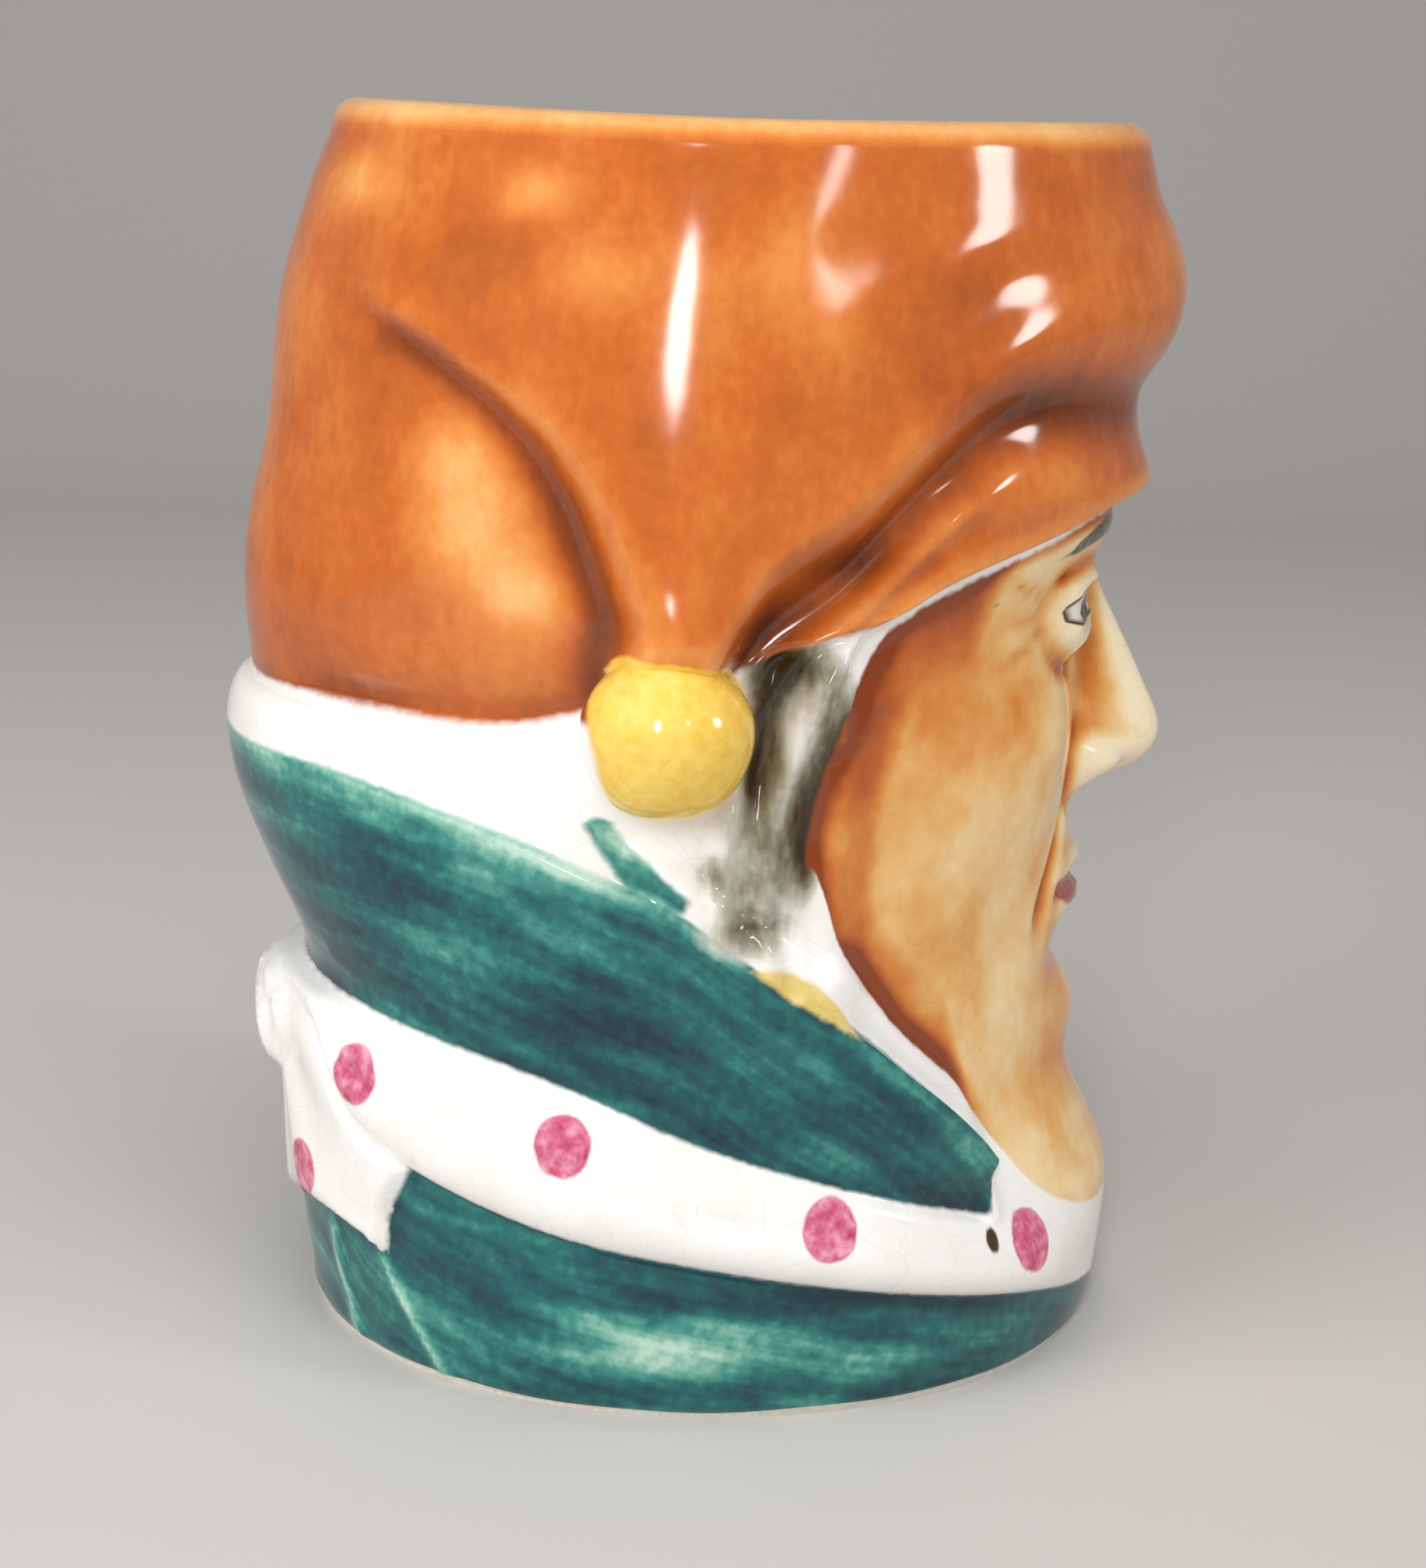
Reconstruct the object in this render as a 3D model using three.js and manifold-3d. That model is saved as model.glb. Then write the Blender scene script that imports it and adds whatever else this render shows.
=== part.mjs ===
// A toby jug: a hollow earthenware drinking jug cast as the head of an old sailor in a stocking cap.
// The cap falls to his right and ends in a bobble, a turned-up coat collar stands round the jaw, and a
// neckerchief is knotted at the nape. The casting is one piece with its loop handle.
//
// Millimetres, +Z up. The origin is in the middle of the flat underside, on the axis that the oval sections
// share. The face looks along -Y, the man's right is -X and his left, with the handle, is +X.
import * as THREE from "three";
import { mergeVertices } from "three/addons/utils/BufferGeometryUtils.js";
import Module from "manifold-3d";

// ---- driving dimensions ---------------------------------------------------------------------------------
const HEIGHT = 89; // foot to rim
const WALL = 3.4; // thickness of the cast wall
const FLOOR = 5; // thickness of the bottom
const LIP = 1.7; // radius of the rounded lip
const FOOT_BEVEL = 0.5; // the worn edge that it stands on
const FILLET = 7; // rounding between the inside wall and the bottom
const INSIDE_ROWS = 9;
const BOBBLE_RADIUS = 5.8;
const BOBBLE_HEIGHT = 49.3;
const BOBBLE_ANGLE = -100; // degrees round from the nose, negative to his right
const BOBBLE_STAND = 29; // from the jug's axis to the middle of the bobble
const HANDLE_ANGLE = 90;
const HANDLE_TOP = 66;
const HANDLE_BOTTOM = 27;
const HANDLE_REACH = 15; // from the wall to the middle of the grip
const HANDLE_WIDTH = 9;
const HANDLE_THICKNESS = 5.6;
const COLUMNS = 80; // facets round the outside; the inside has half as many
const BAND_ROWS = [4, 4, 5, 16, 12]; // rows of facets in the coat, neckerchief, collar, face and cap
const SEAM = 0.35; // half the height of the step from one garment to the next
const TAIL_HEM = 9; // height of the lower edges of the neckerchief's tails
const FOLD_DEPTH = 3; // how far the drawn-down fold of the cap stands out
const FOLD_RADIUS = 31; // from the jug's axis to the fold's crest, just above the bobble
const FOLD_ANGLE = -97; // degrees round from the nose to the fold's crest

const rad = THREE.MathUtils.degToRad;
const mix = THREE.MathUtils.lerp;

// ---- shapes of lines ------------------------------------------------------------------------------------
// A smooth line through a few [position, value] points, level beyond its ends.
function line(points) {
  const slope = points.map((p, i) => {
    const a = points[Math.max(i - 1, 0)];
    const b = points[Math.min(i + 1, points.length - 1)];
    return i === 0 || i === points.length - 1 ? 0 : (b[1] - a[1]) / (b[0] - a[0]);
  });
  return (at) => {
    if (at <= points[0][0]) return points[0][1];
    const i = points.findIndex((p) => p[0] >= at);
    if (i < 0) return points[points.length - 1][1];
    const [x0, y0] = points[i - 1];
    const [x1, y1] = points[i];
    const span = x1 - x0;
    const t = (at - x0) / span;
    const ease = t * t * (3 - 2 * t);
    return mix(y0, y1, ease) + span * t * (1 - t) * ((1 - t) * slope[i - 1] - t * slope[i]);
  };
}
const step = (t) => THREE.MathUtils.smoothstep(t, 0, 1);
const hill = (offset, width) => Math.exp(-((offset / width) ** 2));
// The radius of an oval section at an angle from the nose: a half oval in front and another behind.
function oval(angle, front, back, side) {
  const c = Math.cos(rad(angle));
  const s = Math.sin(rad(angle));
  return 1 / Math.hypot(c / (c > 0 ? front : back), s / side);
}

// ---- where one garment ends and the next begins: height against the angle from the nose -----------------
const scarfLow = line([
  [0, 2], [20, 3.8], [41, 6.4], [69, 9.2], [92, 11.2], [115, 13.2], [138, 16], [151, 19], [180, 20],
]);
const scarfTop = line([
  [0, 9.4], [20, 9.9], [30, 11], [47, 12.8], [69, 16.1], [93, 20], [116, 24], [142, 26], [180, 26.6],
]);
const collarTop = line([
  [36, 13.8], [46, 17.4], [56, 22.6], [70, 28], [82, 31.6], [94, 35.8], [106, 38.9], [122, 41.8], [140, 44],
  [180, 44.8],
]);
const capEdge = line([
  [0, 64], [28, 63.4], [52, 60.6], [70, 57.2], [90, 53.6], [110, 50.4], [125, 49.2], [180, 49.4],
]);
const COLLAR_END = 46; // angle of the collar's points, either side of the chin

// ---- profiles of each garment: radius against height ----------------------------------------------------
const coatFront = line([[0, 31.2], [2.5, 31.8], [8, 31.8]]);
const coatBack = line([[0, 29.2], [4, 30], [9, 30.8], [20, 31]]);
const coatSide = line([[0, 26.6], [5, 27.4], [15, 27.6]]);
const skinFront = line([
  [8, 32.2], [11, 32.1], [13, 31.5], [16, 29.9], [18.5, 28.2], [21, 26.9], [40, 26.8], [52, 27.2], [60, 28.4],
  [64, 28.6],
]);
const skinSide = line([[8, 27.2], [13, 26.9], [18, 25.8], [24, 25.3], [40, 25.8], [60, 26.2]]);
const capFront = line([
  [62, 31.4], [64.4, 32.2], [67, 31.4], [69.8, 30.6], [73.2, 32.2], [77.4, 33.7], [81.5, 32.7], [86, 30.8],
  [89, 30],
]);
const capBack = line([
  [48, 34], [56, 34.4], [62, 33.6], [67, 32.6], [72, 32.2], [77, 31.5], [82, 30.1], [86, 28.6], [89, 27.6],
]);
const capSide = line([[48, 27.4], [58, 27.8], [70, 27.6], [80, 26.8], [86, 25.8], [89, 25.2]]);

// ---- the face: how far it stands out from a plain oval, across and up, in millimetres -------------------
const bridge = line([
  [38.8, 0], [40.6, 4], [42.6, 7.2], [44.6, 7.8], [48, 6], [52.5, 3.4], [56.5, 1], [60, 0.4],
]);
const bridgeWidth = line([[40, 3.4], [44, 3.2], [50, 2.6], [58, 3]]);
function faceRelief(across, z) {
  const x = Math.abs(across);
  const nose = bridge(z) * hill(across, bridgeWidth(z)) + 3 * hill(x - 4.4, 2) * hill(z - 42.2, 2.1);
  const brow = 1.5 * hill(x - 9.5, 8) * hill(z - 60.6, 2.4);
  const socket = -2.6 * hill(x - 9.6, 6) * hill(z - 56, 3.4);
  const lids = 2.2 * Math.sqrt(Math.max(0, 1 - ((x - 9.6) / 5.4) ** 2 - ((z - 55.4) / 3.2) ** 2));
  const cheek = 1.4 * hill(x - 15, 6.5) * hill(z - 46.5, 6) - 0.9 * hill(x - 16, 5) * hill(z - 32, 6);
  const smileLine = mix(9.8, 5.4, step((z - 33) / 9));
  const smile = -0.6 * hill(x - smileLine, 1.3) * step((z - 30) / 5) * step((44 - z) / 4);
  const lips = 1.6 * hill(across, 6.6) * hill(z - 35.2, 1.7) + 1.8 * hill(across, 5.8) * hill(z - 31.4, 1.8);
  const chin = 2.2 * hill(across, 7) * hill(z - 23.6, 3.6) - 0.9 * hill(across, 7) * hill(z - 28, 1.6);
  return nose + brow + socket + lids + cheek + smile + lips + chin;
}

// ---- the radius of each garment -------------------------------------------------------------------------
function skinRadius(angle, z) {
  const plain = oval(angle, skinFront(z), 33, skinSide(z));
  const ahead = Math.max(0, Math.cos(rad(angle)));
  return plain + faceRelief(plain * Math.sin(rad(angle)), z) * ahead ** 0.6;
}

// The face runs back into the hair at the temples. A strip of shirt shows over the collar beside the jaw, and
// at the nape the collar's rounded upper edge stands out under the hair.
function headRadius(angle, z) {
  const turn = Math.abs(angle);
  const skin = skinRadius(angle, z);
  const hair = mix(skin, oval(angle, 29, 34.1, 27), step((turn - 70) / 8));
  const above = z - collarTop(turn);
  const shirt = 1.2 * step((3.4 - above) / 1.2) * step((turn - 42) / 8) * step((112 - turn) / 12);
  const edge = 1.7 * step((turn - 120) / 50) * Math.sqrt(Math.max(0, 1 - (above / 3.4) ** 2));
  return hair + shirt + edge;
}

// At the nape the coat is overlapped by the two tails of the neckerchief.
function coatRadius(angle, z) {
  const turn = Math.abs(angle);
  const tails = 1.3 * step((turn - 139) / 3) * step((179 - turn) / 4) * step((z - TAIL_HEM) / 1.2);
  return oval(angle, coatFront(z), coatBack(z), coatSide(z)) + tails + knot(turn, z);
}

// The neckerchief is a rolled band, fullest below its middle, with a knot at the nape.
const knot = (turn, z) => 3.2 * hill(180 - turn, 9) * hill(z - 22.4, 3.2);
function scarfRadius(angle, z) {
  const turn = Math.abs(angle);
  const up = THREE.MathUtils.clamp((z - scarfLow(turn)) / (scarfTop(turn) - scarfLow(turn)), 0, 1);
  const roll = 1.3 * Math.sin(Math.PI * Math.sqrt(up)) * step((turn - 20) / 25);
  return oval(angle, 32, 31, 27.4) + roll + knot(turn, z);
}

// The collar leans outwards as it rises, most at the nape, and leaves the neck bare between its points.
function collarRadius(angle, z) {
  const turn = Math.abs(angle);
  const up = THREE.MathUtils.clamp((z - scarfTop(turn)) / (collarTop(turn) - scarfTop(turn)), 0, 1);
  const lean = up ** 1.2;
  const cloth = oval(angle, 30 + 1.6 * lean, 30 + 5.8 * lean, 27 + 1.2 * lean);
  return mix(skinRadius(angle, z), cloth, step((turn - COLLAR_END + 2.5) / 5));
}

// The cap is a soft bag whose point is drawn down to the bobble. The drawn-down fold stands out between a
// crease ahead of it, given as its height at an angle, and one behind it, given as its angle at a height. Its
// crest is an even curve from the bobble up to the rim.
const creaseAhead = line([
  [-95, 50.6], [-87, 57], [-76, 61], [-66, 65.6], [-57, 69], [-47, 71.4], [-34, 72.8], [-10, 73.4],
]);
const creaseBehind = line([
  [51, -109], [56, -107.6], [61, -111], [65.7, -116], [69.9, -124], [73, -134], [76, -145],
]);
function capRadius(angle, z) {
  const plain = oval(angle, capFront(z), capBack(z), capSide(z));
  const ahead = 0.8 * (z - creaseAhead(angle));
  const behind = (angle - creaseBehind(z)) * ((plain * Math.PI) / 180);
  const crest = FOLD_RADIUS - 0.0055 * Math.max(0, z - 56) ** 2 - capSide(z);
  const depth = mix(FOLD_DEPTH * (1 - step((z - 56) / 27)), crest, hill(angle - FOLD_ANGLE, 24));
  const fold = depth * step((Math.min(ahead, behind) + 1) / 5);
  const creases = -(1 - step((z - 70) / 6)) * (0.4 * hill(behind, 3) + 1.4 * hill(ahead, 2.2));
  const roll = 0.8 * hill(ahead + 4, 2) * (1 - step((z - 70) / 6));
  return plain + (fold + creases + roll) * step((-4 - angle) / 20) * step((angle + 150) / 12);
}

const layers = [coatRadius, scarfRadius, collarRadius, headRadius, capRadius];

// ---- the shell: rings of points from the underside, up the outside, over the lip and down inside --------
// A ring has its height and its radius as functions of the angle, and facets are narrower towards the face.
function ring(count, heightAt, radiusAt) {
  return Array.from({ length: count }, (_, i) => {
    const share = i / count;
    const angle = 360 * share - 11 * Math.sin(2 * Math.PI * share) - (share > 0.5 ? 360 : 0);
    const z = heightAt(angle);
    const r = radiusAt(angle, z);
    return [r * Math.sin(rad(angle)), -r * Math.cos(rad(angle)), z];
  });
}
const level = (z) => () => z;

// The outside's rings follow the seams, so that each garment has a crisp edge.
function outsideRings() {
  const rings = [];
  const edges = [level(FOOT_BEVEL), scarfLow, scarfTop, collarTop, capEdge, level(HEIGHT - LIP)];
  layers.forEach((layer, band) => {
    for (let i = 0; i <= BAND_ROWS[band]; i++) {
      const height = (angle) => {
        const turn = Math.abs(angle);
        const from = edges[band](turn) + (band > 0 ? SEAM : 0);
        const to = edges[band + 1](turn) - (band < layers.length - 1 ? SEAM : 0);
        return mix(from, to, i / BAND_ROWS[band]);
      };
      rings.push(ring(COLUMNS, height, layer));
    }
  });
  return rings;
}

// The inside is a plain oval vessel, so that the wall has at least its true thickness all round.
const insideFront = line([[12, 27.4], [18, 24.8], [25, 23], [54, 23], [66, 25.6], [78, 28.2], [89, 26.6]]);
const insideBack = line([[4, 26.6], [26, 26.6], [45, 30.4], [60, 30], [76, 27.8], [89, 24.2]]);
const insideSide = line([[4, 23.8], [24, 22.2], [46, 22.4], [60, 23.2], [76, 23.4], [89, 21.8]]);
const insideRadius = (angle, z) => oval(angle, insideFront(z), insideBack(z), insideSide(z));

function shellGeometry() {
  const half = COLUMNS / 2;
  const rings = [ring(COLUMNS, level(0), (a) => coatRadius(a, 0) - FOOT_BEVEL), ...outsideRings()];
  const lipStart = HEIGHT - LIP;
  for (const t of [40, 90, 140]) {
    const lean = (1 - Math.cos(rad(t))) / 2;
    const radius = (a) => mix(capRadius(a, lipStart), insideRadius(a, lipStart), lean);
    rings.push(ring(t < 90 ? COLUMNS : half, level(lipStart + LIP * Math.sin(rad(t))), radius));
  }
  for (let i = 0; i <= INSIDE_ROWS; i++) {
    rings.push(ring(half, level(mix(lipStart, FLOOR + FILLET, i / INSIDE_ROWS)), insideRadius));
  }
  for (const t of [30, 60, 90]) {
    const inset = FILLET * (1 - Math.cos(rad(t)));
    const radius = (a) => insideRadius(a, FLOOR + FILLET) - inset;
    rings.push(ring(half, level(FLOOR + FILLET * (1 - Math.sin(rad(t)))), radius));
  }
  return closedSkin(rings, FLOOR);
}

// Joins neighbouring rings with facets, also where one has twice as many points as the other, and closes the
// first ring, on the ground, and the last ring with a fan.
function closedSkin(rings, lastHeight) {
  const points = [];
  const starts = rings.map((one) => points.push(...one) - one.length);
  const faces = [];
  rings.slice(1).forEach((upper, r) => {
    const lower = rings[r];
    const n = Math.min(lower.length, upper.length);
    const at = (which, i) => {
      const count = rings[which].length;
      return starts[which] + (Math.round(i * (count / n)) % count);
    };
    for (let i = 0; i < n; i++) {
      const [a, b, c, d] = [at(r, i), at(r, i + 1), at(r + 1, i), at(r + 1, i + 1)];
      const [lowMiddle, highMiddle] = [at(r, i + 0.5), at(r + 1, i + 0.5)];
      if (lower.length > n) faces.push(a, lowMiddle, c, lowMiddle, d, c, lowMiddle, b, d);
      else if (upper.length > n) faces.push(a, b, highMiddle, a, highMiddle, c, b, d, highMiddle);
      else faces.push(a, b, d, a, d, c);
    }
  });
  const fan = (r, z, upwards) => {
    const middle = points.push([0, 0, z]) - 1;
    const n = rings[r].length;
    for (let i = 0; i < n; i++) {
      const [a, b] = [starts[r] + i, starts[r] + ((i + 1) % n)];
      faces.push(...(upwards ? [middle, a, b] : [middle, b, a]));
    }
  };
  fan(0, 0, false);
  fan(rings.length - 1, lastHeight, true);
  const geometry = new THREE.BufferGeometry();
  geometry.setAttribute("position", new THREE.Float32BufferAttribute(points.flat(), 3));
  geometry.setIndex(faces);
  return geometry;
}

// ---- the bobble and the handle --------------------------------------------------------------------------
function bobbleGeometry() {
  const geometry = new THREE.SphereGeometry(BOBBLE_RADIUS, 20, 12);
  geometry.rotateX(Math.PI / 2);
  const angle = rad(BOBBLE_ANGLE);
  return geometry.translate(BOBBLE_STAND * Math.sin(angle), -BOBBLE_STAND * Math.cos(angle), BOBBLE_HEIGHT);
}

// An ear-shaped loop of oval section, sunk halfway into the wall at both ends.
function handleGeometry() {
  const wallTop = capRadius(HANDLE_ANGLE, HANDLE_TOP) - WALL / 2;
  const wallBottom = collarRadius(HANDLE_ANGLE, HANDLE_BOTTOM) - WALL / 2;
  const tall = HANDLE_TOP - HANDLE_BOTTOM;
  const points = [
    [wallTop, HANDLE_TOP - 1],
    [wallTop + 0.5 * HANDLE_REACH, HANDLE_TOP + 1.5],
    [wallTop + 0.98 * HANDLE_REACH, HANDLE_TOP - 0.16 * tall],
    [wallTop + HANDLE_REACH, HANDLE_TOP - 0.48 * tall],
    [wallBottom + 0.6 * HANDLE_REACH, HANDLE_TOP - 0.84 * tall],
    [wallBottom, HANDLE_BOTTOM],
  ];
  const path = new THREE.CatmullRomCurve3(points.map(([r, z]) => new THREE.Vector3(r, 0, z)));
  const section = new THREE.Shape();
  section.absellipse(0, 0, HANDLE_THICKNESS / 2, HANDLE_WIDTH / 2, 0, 2 * Math.PI);
  const geometry = new THREE.ExtrudeGeometry(section, { steps: 20, curveSegments: 7, extrudePath: path });
  return geometry.rotateZ(rad(HANDLE_ANGLE - 90));
}

// ---- one casting ----------------------------------------------------------------------------------------
const wasm = await Module();
wasm.setup();

function solidOf(geometry) {
  const plain = geometry.clone();
  for (const name of ["normal", "uv"]) plain.deleteAttribute(name);
  const merged = mergeVertices(plain, 1e-4);
  const vertProperties = merged.attributes.position.array;
  const triVerts = new Uint32Array(merged.index.array);
  return new wasm.Manifold(new wasm.Mesh({ numProp: 3, vertProperties, triVerts }));
}

function geometryOf(solid) {
  const mesh = solid.getMesh();
  const geometry = new THREE.BufferGeometry();
  geometry.setAttribute("position", new THREE.BufferAttribute(mesh.vertProperties, 3));
  geometry.setIndex(new THREE.BufferAttribute(mesh.triVerts, 1));
  geometry.computeVertexNormals();
  return geometry;
}

const casting = solidOf(shellGeometry()).add(solidOf(bobbleGeometry())).add(solidOf(handleGeometry()));
const glazedEarthenware = new THREE.MeshStandardMaterial({ color: 0xb8682f, roughness: 0.15, metalness: 0 });
const jug = new THREE.Mesh(geometryOf(casting), glazedEarthenware);
jug.name = "jug";

const group = new THREE.Group();
group.add(jug);
export default group;
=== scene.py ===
"""A toby jug: a small earthenware drinking jug cast as an old sailor's head, painted and glazed.

The jug stands on a pale studio sweep. Sizes are in millimetres until a mesh is written, in metres.
The casting's surface is given by its radius at an angle round the upright axis and a height. Angle 0
is the tip of the nose, at -Y; negative angles run round by the man's right cheek, at -X, to the nape
at 180 degrees.
"""

import bpy
import numpy as np
from mathutils import Matrix


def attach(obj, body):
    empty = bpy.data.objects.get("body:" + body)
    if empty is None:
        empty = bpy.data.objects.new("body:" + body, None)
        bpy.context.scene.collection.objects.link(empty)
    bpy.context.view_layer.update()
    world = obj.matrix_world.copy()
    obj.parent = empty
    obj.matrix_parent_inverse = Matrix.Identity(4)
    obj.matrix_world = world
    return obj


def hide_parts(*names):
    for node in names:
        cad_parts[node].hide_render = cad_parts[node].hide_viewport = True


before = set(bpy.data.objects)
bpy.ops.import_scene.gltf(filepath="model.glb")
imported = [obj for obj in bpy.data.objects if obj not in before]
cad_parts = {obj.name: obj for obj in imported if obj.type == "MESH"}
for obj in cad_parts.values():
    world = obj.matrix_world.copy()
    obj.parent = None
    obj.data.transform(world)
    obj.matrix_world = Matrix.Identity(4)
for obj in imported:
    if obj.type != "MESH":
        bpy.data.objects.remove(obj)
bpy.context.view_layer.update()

# ---- The studio ----------------------------------------------
# A pale paper sweep: a flat floor that curves up into a wall, painted matt. Three small lamps are seen in
# the glaze as soft windows; two large ones and a pale room fill the shadows.
MM = 0.001
SWEEP_HALF_WIDTH = 900
SWEEP_FRONT = -700
SWEEP_BACK = 420
SWEEP_RADIUS = 260
SWEEP_TOP = 900
PAPER = "#CFCBC6"


def linear(colour):
    """An sRGB hex colour as linear red, green, blue and alpha, by the sRGB curve."""
    values = np.array([int(colour[i : i + 2], 16) for i in (1, 3, 5)]) / 255
    curve = np.where(values <= 0.04045, values / 12.92, ((values + 0.055) / 1.055) ** 2.4)
    return (*curve.tolist(), 1.0)


def node(tree, kind, values, output=None):
    """Adds a shader node and gives its named output, or its first. Values are its properties, or its
    inputs by name or number; a hex string is a colour, a socket a link, and stops a colour ramp's."""
    made = tree.nodes.new("ShaderNode" + kind)
    for name, value in values.items():
        if name == "stops":
            while len(made.color_ramp.elements) < len(value):
                made.color_ramp.elements.new(1.0)
            for element, (place, colour) in zip(made.color_ramp.elements, value):
                element.position, element.color = place, linear(colour)
        elif isinstance(name, str) and hasattr(made, name):
            setattr(made, name, value)
        else:
            socket = next(i for n, i in enumerate(made.inputs) if i.enabled and name in (n, i.name))
            if isinstance(value, bpy.types.NodeSocket):
                tree.links.new(value, socket)
            else:
                socket.default_value = linear(value) if isinstance(value, str) else value
    return made.outputs[output] if output else next(o for o in made.outputs if o.enabled)


def shader_of(material):
    """The material's own Principled shader."""
    return next(n for n in material.node_tree.nodes if n.type == "BSDF_PRINCIPLED")


def new_material(name, roughness):
    """A material with its Principled shader."""
    made = bpy.data.materials.new(name)
    made.use_nodes = True
    shader_of(made).inputs["Roughness"].default_value = roughness
    return made


def grid_faces(rows, columns, closed):
    """Quads that join each point of a grid to the next, closed round the columns if asked."""
    row = np.arange(rows - 1)[:, None]
    column = np.arange(columns if closed else columns - 1)[None, :]
    beside = (column + 1) % columns
    here, after = row * columns, (row + 1) * columns
    corners = [here + column, here + beside, after + beside, after + column]
    return np.stack(corners, axis=-1).reshape(-1, 4)


def mesh_object(name, points, faces):
    """A smooth-shaded mesh object from points in millimetres and lists of corners."""
    mesh = bpy.data.meshes.new(name)
    mesh.from_pydata((np.asarray(points) * MM).tolist(), [], faces)
    mesh.polygons.foreach_set("use_smooth", np.ones(len(mesh.polygons), bool))
    made = bpy.data.objects.new(name, mesh)
    bpy.context.scene.collection.objects.link(made)
    return made


def sweep_points():
    """The sweep's profile, a floor, a quarter circle and a wall, carried across its width along Y."""
    bend = np.linspace(0, np.pi / 2, 24)
    curve = SWEEP_BACK + SWEEP_RADIUS * np.sin(bend)
    along = np.concatenate([[SWEEP_FRONT], curve, [SWEEP_BACK + SWEEP_RADIUS]])
    up = np.concatenate([[0], SWEEP_RADIUS * (1 - np.cos(bend)), [SWEEP_TOP]])
    across = np.linspace(SWEEP_HALF_WIDTH, -SWEEP_HALF_WIDTH, 3)
    along_grid, across_grid = np.meshgrid(along, across, indexing="ij")
    return np.stack([along_grid, across_grid, np.broadcast_to(up[:, None], along_grid.shape)], -1)


sweep_grid = sweep_points()
sweep_faces = grid_faces(*sweep_grid.shape[:2], closed=False).tolist()
sweep = mesh_object("sweep", sweep_grid.reshape(-1, 3), sweep_faces)
paper = new_material("matt_paper", 0.75)
shader_of(paper).inputs["Base Color"].default_value = linear(PAPER)
sweep.data.materials.append(paper)

world = bpy.data.worlds.new("pale_room")
world.use_nodes = True
room = world.node_tree.nodes["Background"].inputs
room["Color"].default_value = linear("#E6E8EC")
room["Strength"].default_value = 0.36
bpy.context.scene.world = world
bpy.context.scene.view_settings.view_transform = "Standard"

VIEW_TURN = np.radians(5.0)  # how far behind the square side view the camera stands
VIEW_DISTANCE = 209.0  # from the jug's axis
VIEW_HEIGHT = 89.0
VIEW_ASIDE = 0.63
VIEW_PITCH = np.radians(13.34)
VIEW_ROLL = np.radians(1.94)
VIEW_LENS = 64.98  # on a 36 mm frame height


def stand(thing, name, right, up, back, place):
    """Puts a camera or lamp in the scene, by its axes' directions and its place in millimetres."""
    holder = bpy.data.objects.new(name, thing)
    rows = [[*axes, at * MM] for *axes, at in zip(right, up, back, place)]
    holder.matrix_world = Matrix(rows + [[0, 0, 0, 1]])
    bpy.context.scene.collection.objects.link(holder)
    return holder


def place_camera():
    """Stands the camera beside the man's right cheek, tipped down and rolled a little."""
    outwards = np.array([-np.cos(VIEW_TURN), np.sin(VIEW_TURN), 0])
    right = np.cross(-outwards, [0, 0, 1])
    back = outwards * np.cos(VIEW_PITCH) + np.array([0, 0, np.sin(VIEW_PITCH)])
    up = np.cross(back, right)
    rolled_right = right * np.cos(VIEW_ROLL) + up * np.sin(VIEW_ROLL)
    rolled_up = up * np.cos(VIEW_ROLL) - right * np.sin(VIEW_ROLL)
    place = outwards * VIEW_DISTANCE + right * VIEW_ASIDE + np.array([0, 0, VIEW_HEIGHT])
    lens = bpy.data.cameras.new("camera")
    lens.lens = VIEW_LENS
    lens.clip_start = 0.01
    bpy.context.scene.camera = stand(lens, "camera", rolled_right, rolled_up, back, place)


place_camera()

LAMP_AIM = 45.0  # the height that the lamps point at


def lamp_box(name, angle, height, distance, width, tall, power, mirrored):
    """A diffused lamp, at an angle round the jug, aimed at its middle. One seen in the glaze is an oval;
    one that only fills the shadows is a rectangle, and the glaze doesn't show it."""
    around = np.radians(angle)
    place = np.array([distance * np.sin(around), -distance * np.cos(around), height])
    back = place - np.array([0, 0, LAMP_AIM])
    back = back / np.linalg.norm(back)
    right = np.array([np.cos(around), np.sin(around), 0])
    lamp = bpy.data.lights.new(name, "AREA")
    lamp.shape = "ELLIPSE" if mirrored else "RECTANGLE"
    lamp.size, lamp.size_y = width * MM, tall * MM
    lamp.energy = power
    stand(lamp, name, right, np.cross(back, right), back, place).visible_glossy = mirrored


lamp_box("window_lamp", -102, 238, 430, 56, 150, 0.52, True)
lamp_box("side_window_lamp", -64, 290, 430, 24, 70, 0.06, True)
lamp_box("far_window_lamp", -26, 225, 430, 80, 110, 0.35, True)
lamp_box("wall_lamp", -150, 260, 430, 260, 260, 1.15, False)
lamp_box("top_lamp", -80, 620, 260, 420, 420, 1.5, False)

# ---- The vessel ----------------------------------------------
# White earthenware slip, cast in a plaster mould as one hollow piece. The oval body is narrower across the
# cheeks than from nose to nape; each garment is a layer of a millimetre or two on it.
HEIGHT = 89.0
LIP_RADIUS = 1.7
LIP_START = HEIGHT - LIP_RADIUS
FLOOR = 5.0
FILLET = 7.0
ARC = 0.52  # millimetres round the body for a degree


def through(points, at):
    """A smooth line through (place, value) points: a cubic between neighbours, each point's slope that
    of the chord between its neighbours, level beyond the ends."""
    place, value = np.array(points, float).T
    slope = np.zeros_like(value)
    slope[1:-1] = (value[2:] - value[:-2]) / (place[2:] - place[:-2])
    at = np.clip(at, place[0], place[-1])
    i = np.clip(np.searchsorted(place, at) - 1, 0, len(place) - 2)
    span = place[i + 1] - place[i]
    t = (at - place[i]) / span
    ease = t * t * (3 - 2 * t)
    bow = span * t * (1 - t) * ((1 - t) * slope[i] - t * slope[i + 1])
    return value[i] + (value[i + 1] - value[i]) * ease + bow


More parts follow.
